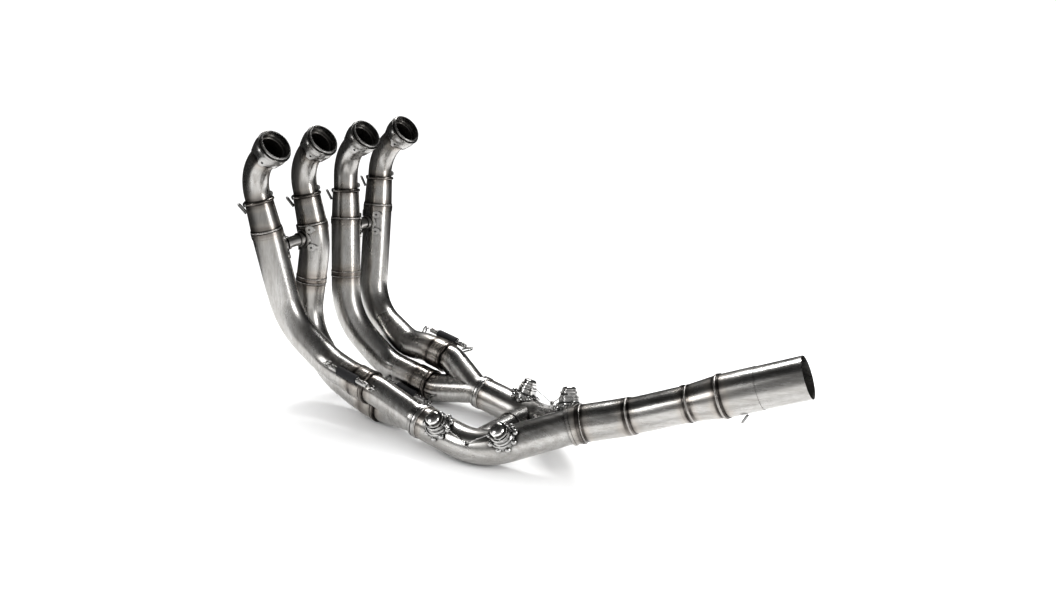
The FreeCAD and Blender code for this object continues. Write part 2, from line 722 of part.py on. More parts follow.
def pipe_pieces(number_of_pipe):
    """Inlet bend, taper cone and primary tube of one pipe."""
    route = pipes[number_of_pipe]
    seat = size("collar_seat")
    shift = joint_shift(number_of_pipe)
    name = "inlet_bend_%d" % number_of_pipe
    inlet_end = size("inlet_end") + shift
    node(tube(name, route, seat, inlet_end, cell("inlet_od")))
    name = "taper_cone_%d" % number_of_pipe
    start = size("taper_start") + shift
    end = size("taper_end") + shift
    mouth_od = cell("taper_mouth_od")
    bead = torus(name + "_bead", route, start + size("bead_thickness") / 2, mouth_od, cell("bead_thickness"))
    spigot = rod(name + "_spigot", route, start - 1, inlet_end, cell("inlet_od") + cell("slip_gap") * 2)
    node(tube(name, route, start, end, mouth_od, cell("taper_end_od"), [bead], [spigot]))
    name = "primary_tube_%d" % number_of_pipe
    band_start = size("band_start") + shift
    band = rod(name + "_band", route, band_start, band_start + size("band_width"), cell("band_od"))
    bands[number_of_pipe] = band
    raised = [band]
    if number_of_pipe in (2, 3):
        seam = size("pipe%d_seam_at" % number_of_pipe)
        raised.append(rod(name + "_seam_band", route, seam, seam + size("band_width"), cell("seam_band_od")))
    node(tube(name, route, end, primary_end(route), cell("primary_od"), None, raised))


def slip_sleeve(number_of_pipe):
    """A sleeve that is welded over the end of the primary and slides on the collector's leg."""
    name = "slip_sleeve_%d" % number_of_pipe
    length = cell("sleeve_start") - cell("sleeve_end")
    bore = cell("leg_od") / 2 + cell("slip_gap")
    socket = cell("primary_od") / 2 + cell("weld_gap")
    outer = cell("sleeve_radius")
    low = outer - cell("sleeve_groove")
    high = outer + cell("sleeve_bead")
    slope = cell("sleeve_slope")
    groove = length - cell("sleeve_groove_at")
    groove_end = groove + cell("sleeve_groove_width")
    return node(turned(name, [
        (socket, 0),
        (outer, 0),
        (outer, groove - slope),
        (low, groove),
        (low, groove_end),
        (high, groove_end + slope),
        (high, length - slope),
        (low, length),
        (bore, length),
        (bore, cell("sleeve_socket")),
        (socket, cell("sleeve_socket")),
    ], facing(beside(number_of_pipe, size("sleeve_start")), down_axis)))


def half_space(name, side, outer):
    """A block that holds one side of the seam plane between the paired legs."""
    block = doc.addObject("Part::Box", name)
    bind(block, "Length", cell("leg_start") + cell("seam_margin") * 2)
    bind(block, "Width", cell("leg_od") * 2)
    bind(block, "Height", cell("leg_od") * 2)
    centre = ring_centre(side)
    across = pair_axis(side) * outer
    placed = facing(centre, across, down_axis)
    corner = placed.multVec(Vector(-size("leg_start") - size("seam_margin"), -size("leg_od"), 0))
    block.Placement = Placement(corner, placed.Rotation)
    return block


def collector_leg(number_of_pipe):
    """A bent leg, cut off along the seam with its neighbour."""
    name = "collector_leg_%d" % number_of_pipe
    route = leg_route(number_of_pipe)
    outer = 1 if number_of_pipe in (1, 4) else -1
    whole = tube(name + "_whole", route, 0, route.length, cell("leg_od"))
    return node(common(name, whole, half_space(name + "_side", side_of(number_of_pipe), outer)))


def collector_ring(side):
    """A turned ring between the paired legs and the secondary."""
    length = cell("ring_length")
    outer = cell("secondary_od") / 2 + cell("ring_stand")
    bed = outer - cell("ring_groove")
    groove = cell("ring_groove_at")
    groove_end = groove + cell("ring_groove_width")
    slope = cell("ring_slope")
    return node(turned("collector_ring_" + side_names[side], [
        (cell("leg_od") / 2 - cell("wall"), 0),
        (cell("leg_od") / 2 + cell("weld_gap"), 0),
        (outer - cell("weld_gap"), slope),
        (outer, groove - cell("weld_gap")),
        (bed, groove),
        (bed, groove_end),
        (outer, groove_end + cell("weld_gap")),
        (outer, length - slope),
        (cell("secondary_od") / 2, length),
        (cell("secondary_od") / 2 - cell("wall"), length),
    ], facing(ring_centre(side) - down_axis * size("ring_length"), down_axis)))


def main_solids(merge_bands):
    """Full rounds of the near secondary, the merge ring and the merge tube."""
    start = size("merge_start")
    end = start + size("merge_length")
    return [
        rod("near_round", near_chain, start - size("merge_reach"), start, cell("secondary_od")),
        rod("merge_ring_round", near_chain, start, end, cell("merge_ring_od")),
        rod("merge_round", near_chain, end, size("link_start"), cell("merge_od")),
    ] + merge_bands


def balance_ends():
    return near_chain.point(size("balance_at")), far_chain.point(size("balance_at"))


def main_band(name, station, diameter):
    """A short raised band round the main pipe."""
    return rod(name, near_chain, station, station + size("main_band"), diameter + cell("main_band_rise") * 2)


def main_pipe():
    """Secondaries, merge, link, outlet cone and outlet pipe."""
    merge_end = size("merge_start") + size("merge_length")
    bore = cell("secondary_od") - cell("wall") * 2
    branch = size("merge_start") - size("merge_reach")
    far_inner = rod("far_branch_bore", far_chain, branch, far_chain.length, bore)
    near_end, far_end = balance_ends()
    across = (far_end - near_end).normalize()
    reach = (far_end - near_end).Length
    opening = cell("balance_od") - cell("wall") * 2
    near_opening = disc("near_balance_opening", facing(near_end, across), opening, cell("secondary_od"))
    far_opening = disc("far_balance_opening", facing(far_end, across * -1), opening, cell("secondary_od"))
    node(tube("secondary_near", near_chain, 0, size("merge_start"), cell("secondary_od"), None, [],
              [far_inner, near_opening]))
    far_whole = tube("secondary_far_whole", far_chain, 0, far_chain.length, cell("secondary_od"), None, [],
                     [far_opening])
    merge_bands = [
        main_band("merge_band_1", size("merge_start"), cell("merge_ring_od")),
        main_band("merge_band_2", merge_end - size("main_band"), cell("merge_ring_od")),
    ]
    node(cut("secondary_far", far_whole, fused("main_rounds", main_solids(merge_bands))))
    ring = tube("merge_ring_whole", near_chain, size("merge_start"), merge_end, cell("merge_ring_od"), None,
                merge_bands)
    node(cut("merge_ring", ring, far_inner))
    merge_whole = tube("merge_tube_whole", near_chain, merge_end, size("link_start"), cell("merge_od"))
    node(cut("merge_tube", merge_whole, far_inner))
    node(tube("link_tube", near_chain, size("link_start"), size("cone_start"), cell("link_od"), None, [
        main_band("link_band_1", size("link_start"), cell("link_od")),
        main_band("link_band_2", size("cone_start") - size("link_band_back"), cell("link_od")),
    ]))
    node(tube("outlet_cone", near_chain, size("cone_start"), size("cone_end"), cell("link_od"), cell("outlet_od")))
    slip_start = size("outlet_end") - size("outlet_slip")
    outlet_outer = fused("outlet_pipe_outer", [
        rod("outlet_pipe_body", near_chain, size("cone_end"), slip_start, cell("outlet_od")),
        rod("outlet_pipe_slip", near_chain, slip_start, size("outlet_end"), cell("outlet_slip_od")),
        main_band("outlet_band", size("cone_end"), cell("outlet_od")),
    ])
    outlet_bore = rod("outlet_pipe_bore", near_chain, size("cone_end"), size("outlet_end"),
                      cell("outlet_od") - cell("wall") * 2)
    node(cut("outlet_pipe", outlet_outer, outlet_bore))
    balance = disc("balance_tube_outer", facing(near_end, across), cell("balance_od"), reach)
    balance_inner = disc("balance_tube_inner", facing(near_end, across), opening, reach)
    bored = cut("balance_tube_bored", balance, balance_inner)
    low, high = size("balance_at") - size("secondary_od"), size("balance_at") + size("secondary_od")
    ends = fused("balance_tube_ends", [
        rod("near_balance_round", near_chain, low, high, cell("secondary_od")),
        rod("far_balance_round", far_chain, low, high, cell("secondary_od")),
    ])
    node(cut("balance_tube", bored, ends))
    sleeve_start = far_end - across * size("balance_sleeve_at")
    edge = cell("balance_sleeve_edge")
    node(turned("balance_sleeve", [
        (cell("balance_od") / 2 + cell("weld_gap"), 0),
        (cell("balance_sleeve_od") / 2 - edge, 0),
        (cell("balance_sleeve_od") / 2, edge),
        (cell("balance_sleeve_od") / 2, cell("balance_sleeve_length") - edge),
        (cell("balance_sleeve_od") / 2 - edge, cell("balance_sleeve_length")),
        (cell("balance_od") / 2 + cell("weld_gap"), cell("balance_sleeve_length")),
    ], facing(sleeve_start, across)))


def crossover(name, first, second):
    """A tube between two primaries, with a lobed saddle on each."""
    stations = {n: size("crossover%d_at" % n) for n in (first, second)}
    start = pipes[first].point(stations[first])
    end = pipes[second].point(stations[second])
    across = (end - start).normalize()
    placed = facing(start, across)
    length = (end - start).Length
    stem = disc(name + "_stem", placed, cell("crossover_od"), length)
    clear = size("primary_od") / 2 + size("saddle_thickness") * 2
    collars = [
        disc(name + "_collar_1", facing(start + across * clear, across), cell("crossover_collar_od"),
             cell("crossover_collar")),
        disc(name + "_collar_2", facing(end - across * clear, across * -1), cell("crossover_collar_od"),
             cell("crossover_collar")),
    ]
    outer = fused(name + "_outer", [stem] + collars)
    inner = disc(name + "_inner", placed, cell("crossover_od") - cell("wall") * 2, length)
    rounds = []
    saddles = []
    for n, direction, foot in ((first, across, start), (second, across * -1, end)):
        low = stations[n] - size("saddle_long")
        high = stations[n] + size("saddle_long")
        skin = rod("%s_skin_%d" % (name, n), pipes[n], low, high, cell("primary_od") + cell("saddle_thickness") * 2)
        round_ = rod("%s_round_%d" % (name, n), pipes[n], low, high, cell("primary_od"))
        outline = saddle_outline("%s_outline_%d" % (name, n), facing(foot, direction, pipes[n].tangent(stations[n])))
        pad = common("%s_pad_%d" % (name, n), outline, skin)
        core = fused("%s_core_%d" % (name, n), [round_, outer, bands[n]])
        saddles.append(cut("%s_saddle_%d" % (name, n), pad, core))
        rounds.extend([round_, bands[n]])
    bored = cut(name + "_bored", outer, inner)
    node(cut(name, bored, fused(name + "_ends", rounds)))
    return saddles


def saddle_outline(name, placement):
    """A saddle's outline as a tall block: a round middle and lobes with a hole each."""
    tall = cell("primary_od")
    along = size("saddle_long") / 2 - size("saddle_lobe") / 2
    aside = size("saddle_wide") / 2 - size("saddle_lobe") / 2
    middle = disc(name + "_middle", placement, cell("saddle_middle"), tall)
    lobes = [middle]
    holes = []
    for x in (-1, 1):
        for y in (-1, 1):
            spot = placement.multiply(Placement(Vector(x * along, y * aside, 0), FreeCAD.Rotation()))
            tag = "%s_%d" % (name, len(lobes))
            lobes.append(disc(tag + "_lobe", spot, cell("saddle_lobe"), tall))
            holes.append(disc(tag + "_hole", spot, cell("saddle_hole"), tall))
    return cut(name, fused(name + "_lobes", lobes), fused(name + "_holes", holes))


def sensor_bung(index, side, alias, up):
    """A bung with a lobed base, its plug and its washer."""
    route = chains[side]
    station = size(alias)
    out = route.across(station, up)
    centre = route.point(station)
    along = route.tangent(station)
    surface = cell("secondary_od") / 2
    base_top = surface + cell("bung_base")
    top = surface + cell("bung_height")
    placed = facing(centre, out, along)
    name = "sensor_bung_%d" % index
    below = surface - cell("bung_depth")
    edge = cell("bung_edge")
    body = turned(name + "_turned", [
        (cell("bung_bore") / 2, below),
        (cell("bung_base_od") / 2, below),
        (cell("bung_base_od") / 2, base_top - edge),
        (cell("bung_base_od") / 2 - edge, base_top),
        (cell("bung_od") / 2 + cell("bung_foot"), base_top),
        (cell("bung_od") / 2, base_top + cell("bung_foot_height")),
        (cell("bung_od") / 2, top - edge),
        (cell("bung_od") / 2 - edge, top),
        (cell("bung_bore") / 2, top),
    ], Placement())
    body.Placement = placed
    balls = []
    for n in range(int(size("lobes"))):
        angle = math.tau * n / size("lobes")
        aside = size("bung_base_od") / 2 * math.sin(angle)
        rise = math.sqrt((size("secondary_od") / 2) ** 2 - aside ** 2) + size("lobe_rise")
        ball = doc.addObject("Part::Sphere", "%s_lobe_%d" % (name, n + 1))
        bind(ball, "Radius", cell("lobe_od") / 2)
        spot = Vector(size("bung_base_od") / 2 * math.cos(angle), aside, rise)
        ball.Placement = Placement(placed.multVec(spot), placed.Rotation)
        balls.append(ball)
    reach = size("bung_base_od") + size("lobe_od")
    seat = [rod(name + "_seat", route, station - reach, min(station + reach, route.length), cell("secondary_od"))]
    if index == 4:
        seat.append(rod(name + "_ring_seat", near_chain, size("merge_start"), size("merge_start") + size("merge_length"),
                        cell("merge_ring_od") + cell("main_band_rise") * 2 + cell("weld_gap") * 2))
        seat.append(rod(name + "_near_seat", near_chain, size("merge_start") - reach, size("merge_start"),
                        cell("secondary_od") + cell("weld_gap") * 2))
    cutter = fused(name + "_seats", seat) if len(seat) > 1 else seat[0]
    node(cut(name, fused(name + "_whole", [body] + balls), cutter))
    plug = turned("bung_plug_%d" % index, plug_corners(top + cell("washer_thickness")), Placement())
    hexagon = sketch_on(plug, "XY_Plane", "bung_plug_%d_hexagon" % index, top + cell("washer_thickness"))
    draw_hexagon(hexagon, cell("plug_hex"))
    pad = plug.newObject("PartDesign::Pad", "bung_plug_%d_head" % index)
    pad.Profile = hexagon
    bind(pad, "Length", cell("plug_hex_height"))
    plug.Tip = pad
    plug.Placement = placed
    node(plug)
    return turned("plug_washer_%d" % index, [
        (cell("bung_bore") / 2, top),
        (cell("washer_od") / 2, top),
        (cell("washer_od") / 2, top + cell("washer_thickness")),
        (cell("bung_bore") / 2, top + cell("washer_thickness")),
    ], placed)


def plug_corners(seat):
    """Shank, flange and dome of a plug, above the washer's top."""
    shank = cell("bung_bore") / 2
    flange = seat + cell("plug_hex_height")
    dome = flange + cell("plug_flange")
    return [
        (0, seat - cell("bung_height")),
        (shank, seat - cell("bung_height")),
        (shank, flange),
        (cell("plug_flange_od") / 2, flange),
        (cell("plug_flange_od") / 2, dome),
        (cell("plug_dome_od") / 2, dome),
        (cell("plug_dome_od") / 2, dome + cell("plug_dome") * 0.5),
        (cell("plug_dome_od") / 2 * 0.86, dome + cell("plug_dome") * 0.82),
        (cell("plug_dome_od") / 2 * 0.6, dome + cell("plug_dome")),
        (0, dome + cell("plug_dome")),
    ]


def draw_hexagon(sketch, flats):
    """A hexagon about the sketch's origin with two flats square to its X axis."""
    radius = number(flats) / 2 / math.cos(math.pi / 6)
    corners = [Vector(radius * math.cos(math.pi / 3 * n + math.pi / 6), radius * math.sin(math.pi / 3 * n + math.pi / 6), 0)
               for n in range(6)]
    for n in range(6):
        sketch.addGeometry(Part.LineSegment(corners[n], corners[(n + 1) % 6]), False)
    circle = sketch.addGeometry(Part.Circle(Vector(0, 0, 0), Vector(0, 0, 1), radius), True)
    sketch.addConstraint(Sketcher.Constraint("Coincident", circle, 3, -1, 1))
    for n in range(6):
        sketch.addConstraint(Sketcher.Constraint("Coincident", n, 2, (n + 1) % 6, 1))
        sketch.addConstraint(Sketcher.Constraint("PointOnObject", n, 1, circle))
        if n:
            sketch.addConstraint(Sketcher.Constraint("Equal", 0, n))
    sketch.addConstraint(Sketcher.Constraint("Vertical", 5))
    across = sketch.addConstraint(Sketcher.Constraint("Diameter", circle, radius * 2))
    sketch.setExpression("Constraints[%d]" % across, flats.text + " / cos(30 deg)")


def on_surface(route, station, out, height):
    """A point beside a route: so far out from its axis, in the direction nearest to out."""
    return route.point(station) + route.across(station, out) * height


def hook_loop(name, route, station, out, foot_height, tip):
    """A looped wire hook: two legs that rise from the pipe to a round tip."""
    half = size("hook_width") / 2
    feet = on_surface(route, station, out, foot_height + size("hook_wire") / 2)
    aside = route.tangent(station).cross(tip - feet).normalize() * half
    bend = half * size("hook_round")
    path = Route([(feet - aside, None), (tip - aside, bend), (tip + aside, bend), (feet + aside, None)])
    return rod(name, path, 0, path.length, cell("hook_wire"))


def joint_hook(number_of_pipe):
    """The hook on a taper cone, and beside it a small lug with a hole."""
    route = pipes[number_of_pipe]
    name = "joint_hook_%d" % number_of_pipe
    shift = joint_shift(number_of_pipe)
    start, end = size("taper_start"), size("taper_end")
    share = (size("joint_hook_at") - start) / (end - start)
    cone = (size("taper_mouth_od") + (size("taper_end_od") - size("taper_mouth_od")) * share) / 2
    feet = size("joint_hook_at") + shift
    tip = on_surface(route, feet, hook_side, cone + size("joint_hook_rise"))
    tip = tip - route.tangent(feet) * size("joint_hook_reach")
    hook = hook_loop(name, route, feet, hook_side, cone, tip)
    lug_station = start + shift + size("bead_thickness") / 2
    out = route.across(lug_station, lug_side)
    bead_top = (size("taper_mouth_od") + size("bead_thickness")) / 2
    placed = facing(on_surface(route, lug_station, lug_side, bead_top), out)
    plate = disc(name + "_lug_plate", placed, cell("lug_od"), cell("lug_thickness"))
    hole = disc(name + "_lug_hole", placed, cell("lug_hole"), cell("lug_thickness"))
    return [hook, cut(name + "_lug", plate, hole)]


def joint_tab(number_of_pipe):
    """A round tab on the inlet bend, opposite the hook."""
    route = pipes[number_of_pipe]
    name = "joint_tab_%d" % number_of_pipe
    station = size("tab_at") + joint_shift(number_of_pipe)
    out = route.across(station, hook_side * -1)
    aside = route.tangent(station).cross(out)
    centre = on_surface(route, station, out, size("inlet_od") / 2) - aside * (size("tab_thickness") / 2)
    plate = disc(name + "_plate", facing(centre, aside), cell("tab_od"), cell("tab_thickness"))
    bend = rod(name + "_bend", route, station - size("tab_od"), station + size("tab_od"), cell("inlet_od"))
    return cut(name, plate, bend)


def spring_set(name, number_of_pipe, out):
    """A spring over a slip joint, its rubber sleeve, and the two hooks that hold it."""
    primary = pipes[number_of_pipe]
    leg = leg_route(number_of_pipe)
    front_at = primary.length + size("sleeve_end") - size("spring_front")
    rear_at = size("leg_start") - size("spring_rear")
    sleeve = size("sleeve_radius") + size("sleeve_bead")
    line_height = sleeve + size("rubber_od") / 2 + size("rest_gap") * 2
    rear_bar = on_surface(leg, rear_at, out, line_height) + down_axis * size("hook_reach")
    front_bar = rear_bar - down_axis * size("spring_span")
    front_loop = hook_loop(name + "_front_loop", primary, front_at, out, size("primary_od") / 2, front_bar)
    foot_length = size("hook_width")
    under = rod(name + "_under_hook", primary, front_at - foot_length, front_at + foot_length,
                cell("primary_od") + cell("weld_gap") * 2)
    rear_loop = hook_loop(name + "_rear_hook", leg, rear_at, out, size("leg_od") / 2, rear_bar)
    hooks = [cut(name + "_front_hook", front_loop, under), rear_loop]
    line = Route([(front_bar, None), (rear_bar, None)])
    along = line.tangent(0)
    loop_radius = (cell("spring_od") - cell("spring_wire")) / 2
    hang = number(loop_radius) - (size("spring_wire") + size("hook_wire")) / 2 - size("rest_gap")
    aside = out.cross(along).normalize()
    coil_start = hang + size("spring_loop")
    coil_end = line.length - coil_start
    pieces = [rod(name + "_coil", line, coil_start, coil_end, cell("spring_od"))]
    for tag, middle, coil, step in (("front", hang, coil_start, 1), ("rear", line.length - hang, coil_end, -1)):
        ring = doc.addObject("Part::Torus", "%s_%s_ring" % (name, tag))
        bind(ring, "Radius1", loop_radius)
        bind(ring, "Radius2", cell("spring_wire") / 2)
        ring.Placement = facing(line.point(middle), aside, along)
        pieces.append(ring)
        rim = middle + step * number(loop_radius)
        pieces.append(rod("%s_%s_shank" % (name, tag), line, min(rim, coil), max(rim, coil), cell("spring_wire")))
    spring = fused(name + "_spring", pieces)
    start = hang + size("rubber_start")
    outer = rod(name + "_rubber_outer", line, start, start + size("rubber_length"), cell("rubber_od"))
    bore = rod(name + "_rubber_bore", line, start, start + size("rubber_length"),
               cell("spring_od") + cell("weld_gap") * 2)
    return spring, cut(name + "_rubber", outer, bore), hooks


def safety_wire(side, first, second, out, second_out, clip_out):
    """A stiff wire from plug to plug through a clip on the pipe between them."""
    route = chains[side]
    name = "safety_wire_" + side_names[side]
    height = size("secondary_od") / 2 + size("bung_height") + size("washer_thickness") + size("plug_hex_height") / 2
    reach = size("plug_hex") / 2 + size("safety_wire_od")
    first_at, second_at = size(first), size(second)
    middle = (first_at + second_at) / 2
    clip = on_surface(route, middle, clip_out, size("secondary_od") / 2 + size("clip_rise"))
    start = on_surface(route, first_at, out, height) + route.tangent(first_at) * reach
    end = on_surface(route, second_at, second_out, height) - route.tangent(second_at) * reach
    path = Route([(start, None), (clip, size("wire_radius")), (end, None)])
    node(rod(name, path, 0, path.length, cell("safety_wire_od")))
    bend = path.pieces[0].length + path.pieces[1].length / 2
    eye = facing(path.point(bend) - path.tangent(bend) * (size("clip_thickness") / 2), path.tangent(bend))
    plate = disc(name + "_clip_plate", eye, cell("clip_od"), cell("clip_thickness"))
    hole = disc(name + "_clip_hole", eye, cell("safety_wire_od") + cell("rest_gap") * 2, cell("clip_thickness"))
    reach_of_seat = size("clip_seat")
    seat = rod(name + "_clip_seat", route, middle - reach_of_seat, middle + reach_of_seat, cell("secondary_od"))
    trimmed = fused(name + "_clip_cuts", [hole, seat])
    return cut(name + "_clip", plate, trimmed)


for pipe in pipes:
    inlet_collar(pipe)
    pipe_pieces(pipe)
    slip_sleeve(pipe)
    collector_leg(pipe)
for side in chains:
    collector_ring(side)
main_pipe()
saddles = crossover("crossover_tube_12", 1, 2) + crossover("crossover_tube_34", 3, 4)
node(fused("crossover_saddles", saddles))
near_up = Vector(0.09, -0.67, 0.74)
far_up = Vector(0.17, 0.34, 0.91)
merge_up = Vector(-0.2, 0.25, 0.93)
washers = [
    sensor_bung(1, -1, "bung_near1_at", near_up),
    sensor_bung(2, -1, "bung_near2_at", near_up),
    sensor_bung(3, 1, "bung_far1_at", far_up),
    sensor_bung(4, 1, "bung_far2_at", merge_up),
]
node(fused("plug_washers", washers))
hook_side = Vector(-0.81, -0.58, -0.06)
lug_side = Vector(-0.25, -0.95, 0.1)
node(fused("joint_hooks", [piece for n in pipes for piece in joint_hook(n)]))
node(fused("joint_tabs", [joint_tab(n) for n in pipes]))
spring_sides = {
    1: Vector(0.07, -0.82, 0.56),
    2: Vector(-0.04, 0.82, -0.34),
    3: Vector(-0.04, -0.82, -0.34),
    4: Vector(0.07, 0.82, 0.56),
}
springs, rubbers, hooks = [], [], []
for n, out in spring_sides.items():
    spring, rubber, pair = spring_set("slip_spring_%d" % n, n, out)
    springs.append(spring)
    rubbers.append(rubber)
    hooks.extend(pair)
node(fused("slip_springs", springs))
node(fused("rubber_sleeves", rubbers))
node(fused("spring_hooks", hooks))
clips = [
    safety_wire(-1, "bung_near1_at", "bung_near2_at", near_up, near_up, Vector(0.3, -0.85, 0.45)),
    safety_wire(1, "bung_far1_at", "bung_far2_at", far_up, merge_up, Vector(0.2, 0.1, 0.95)),
]
node(fused("wire_clips", clips))
hook_at = size("outlet_hook_at")
below = Vector(0.445, -0.161, -0.88)
hook_tip = on_surface(near_chain, hook_at, below, size("outlet_od") / 2 + size("joint_hook_rise"))
hook_tip = hook_tip - near_chain.tangent(hook_at) * size("hook_reach")
node(hook_loop("outlet_hook", near_chain, hook_at, below, size("outlet_od") / 2, hook_tip))

doc.recompute()
broken = [item.Name for item in doc.Objects if "Invalid" in item.State or "Error" in item.State]
if broken:
    raise RuntimeError("not built: " + ", ".join(broken))
os.makedirs("parts", exist_ok=True)
for piece in nodes:
    if piece.Shape.isNull() or not piece.Shape.isValid():
        raise RuntimeError("not a valid solid: " + piece.Label)
    piece.Shape.exportStep("parts/%s.step" % piece.Label)
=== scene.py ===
"""Motorcycle exhaust header: raw steel tubes, collars, springs and welds on a pale floor."""

import math

import bmesh
import bpy
import numpy as np
from bpy.props import FloatProperty, FloatVectorProperty, PointerProperty
from mathutils import Matrix, Vector
from mathutils.bvhtree import BVHTree


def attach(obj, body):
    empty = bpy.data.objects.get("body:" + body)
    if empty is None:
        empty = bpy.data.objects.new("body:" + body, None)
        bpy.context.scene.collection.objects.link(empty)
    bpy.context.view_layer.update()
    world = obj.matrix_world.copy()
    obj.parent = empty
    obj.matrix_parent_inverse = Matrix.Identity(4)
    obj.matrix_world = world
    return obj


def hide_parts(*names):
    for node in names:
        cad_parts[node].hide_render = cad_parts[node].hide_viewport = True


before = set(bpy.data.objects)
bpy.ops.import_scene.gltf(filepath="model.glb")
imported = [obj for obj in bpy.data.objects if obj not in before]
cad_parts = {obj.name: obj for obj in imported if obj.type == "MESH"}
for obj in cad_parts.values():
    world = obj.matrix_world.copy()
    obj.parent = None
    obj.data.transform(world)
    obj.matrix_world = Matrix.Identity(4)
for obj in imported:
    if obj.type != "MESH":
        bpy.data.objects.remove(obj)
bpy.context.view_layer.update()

bl_info = {
    "name": "Exhaust Header",
    "version": (1, 0, 0),
    "blender": (4, 5, 0),
    "location": "View3D > Sidebar > Header",
    "description": "Finishes the tubes, fittings, springs and welds of an exhaust header",
    "category": "Object",
}

PORTS = (1, 2, 3, 4)
SIDES = ("near", "far")
OUTLET = ("merge_ring", "merge_tube", "link_tube", "outlet_cone", "outlet_pipe")
OUTLET_WAY = (0.94, 0.24, 0.2)

ORIGIN = (0.0, 0.0, 0.0)
WHITE = (1.0, 1.0, 1.0, 1.0)
# Where the mirrored room is brightest, and the camera's own right and up.
ROOM_FRONT = (0.86, -0.5, 0.0)
CAMERA_RIGHT = Vector((0.8119, 0.5807, 0.0596))
CAMERA_UP = Vector((-0.2216, 0.2121, 0.9518))

# Keywords that the properties of a kind share.
COLOUR = {"subtype": "COLOR", "size": 3, "min": 0.0, "max": 1.0}
LENGTH = {"subtype": "DISTANCE", "unit": "LENGTH"}
POWER = {"subtype": "POWER", "unit": "POWER", "min": 0.0}

# A point on the welded band half-way down primary tubes 2 and 3, and the tube's direction there.
TUBE_BANDS = {
    2: ((-0.35509, -0.03833, 0.18153), (-0.072, -0.085, -0.994)),
    3: ((-0.35783, 0.03688, 0.17404), (0.11, -0.096, -0.99)),
}
# The band's corner points lie this near along the tube, and at this radius give or take a little.
BAND_SEARCH = 0.012
BAND_RADIUS = 0.0228
BAND_SLACK = 0.0002
# From a collar's web to the edge of its skirt.
SKIRT_REACH = 0.013
# Corner points nearer than this are one point.
SAME_POINT = 0.00001
# Two nodes meet where they come this near.
TOUCH = 0.0012
# The outer edge of a seam is this deep.
SEAM_EDGE = 0.0006
# A face that looks across at metal between these distances is an inner wall.
INNER_WALL = (0.016, 0.062)
# A ray starts this far off its own face.
CLEAR_OF_FACE = 0.0005
# Faces that meet at more than this keep a sharp edge.
SHARP_EDGE = math.radians(32)
# A round seam is measured from at least so many corner points.
FEWEST_POINTS = 8
# The heat of a seam is looked for this far outside its radius.
SEAM_GIRTH = 0.016

# A spring's end loop: reach of its corner points in radii, gap, steps round it, shank and wire step.
LOOP_REACH = 2.2
LOOP_GAP = math.radians(8)
LOOP_STEPS = 28
LOOP_SHANK = 0.001
LOOP_STEP = 0.0006
# Points in one turn of a spring and of a safety wire.
TURN_STEPS = 14
TWIST_STEPS = 12
# The corner points at a safety wire's end lie this near to each other.
WIRE_END = 0.002

# The beads along the edges of a band are thinner.
THIN_BEAD = {"width": 0.0016, "height": 0.0007}

# Shares of the tube colour in its dark marks, a little browner.
DARK_STEEL = (0.52, 0.50, 0.475, 1.0)
# The pale rim of the heat, the burnt line at a seam, and the painted shade in a corner, which darkens the
# steel where other surfaces come near.
PALE_RIM = (0.55, 0.51, 0.46, 1.0)
# The burnt line is partly a dark joint and partly painted shadow in the joint's gap and painted dark
# reflection on the bands.
JOINT_AND_PAINTED_SHADOW_LINE = (0.035, 0.031, 0.028, 1.0)
PAINTED_SHADE_COLOUR = (0.02, 0.018, 0.016, 1.0)
WELD_COLOUR = (0.46, 0.44, 0.42)
# Brightness beside the tubes' own: the taper cones by port, painted shade on the near cones and painted
# light on the far ones, and the wire hooks.
CONE_PAINTED_LIGHT = (0.78, 0.78, 1.05, 1.05)
HOOK_SHADE = 0.62


class HeaderSteel(bpy.types.PropertyGroup):
    """Finish of the raw tubes and the turned fittings, and the painted shade inside them."""

    tube_colour: FloatVectorProperty(
        name="Tube colour",
        description="Colour of the raw tube steel",
        default=(0.57, 0.565, 0.555),
        **COLOUR,
    )
    turned_colour: FloatVectorProperty(
        name="Turned colour",
        description="Colour of the turned collars and rings",
        default=(0.56, 0.55, 0.535),
        **COLOUR,
    )
    bright_colour: FloatVectorProperty(
        name="Bright colour",
        description="Colour of plugs, washers, springs and wire",
        default=(0.80, 0.79, 0.775),
        **COLOUR,
    )
    heat_colour: FloatVectorProperty(
        name="Heat colour",
        description="Straw brown that welding leaves beside a seam",
        default=(0.21, 0.185, 0.165),
        **COLOUR,
    )
    # Painted shade: the near black of the inner walls, standing for the shade inside the pipes.
    inner_shade_colour: FloatVectorProperty(
        name="Inner shade colour",
        description="Colour of the inner walls",
        default=(0.035, 0.033, 0.031),
        **COLOUR,
    )
    rubber_colour: FloatVectorProperty(
        name="Rubber colour",
        description="Colour of the sleeves over the springs",
        default=(0.012, 0.012, 0.013),
        **COLOUR,
    )
    tube_roughness: FloatProperty(
        name="Tube roughness",
        description="Gloss of the raw tubes, from mirror to matt",
        subtype="FACTOR",
        min=0.0,
        max=1.0,
        default=0.24,
    )
    grain_width: FloatProperty(
        name="Grain width",
        description="Width of one brush mark on a tube",
        min=0.0001,
        default=0.0009,
        **LENGTH,
    )
    # Painted shade: how far from a corner the steel colour is darkened where shade falls.
    painted_shade_reach: FloatProperty(
        name="Painted shade reach",
        description="How far the painted corner shade darkens the steel",
        min=0.0001,
        default=0.006,
        **LENGTH,
    )
    heat_reach: FloatProperty(
        name="Heat reach",
        description="How far the heat colour spreads from a seam",
        min=0.001,
        default=0.009,
        **LENGTH,
    )


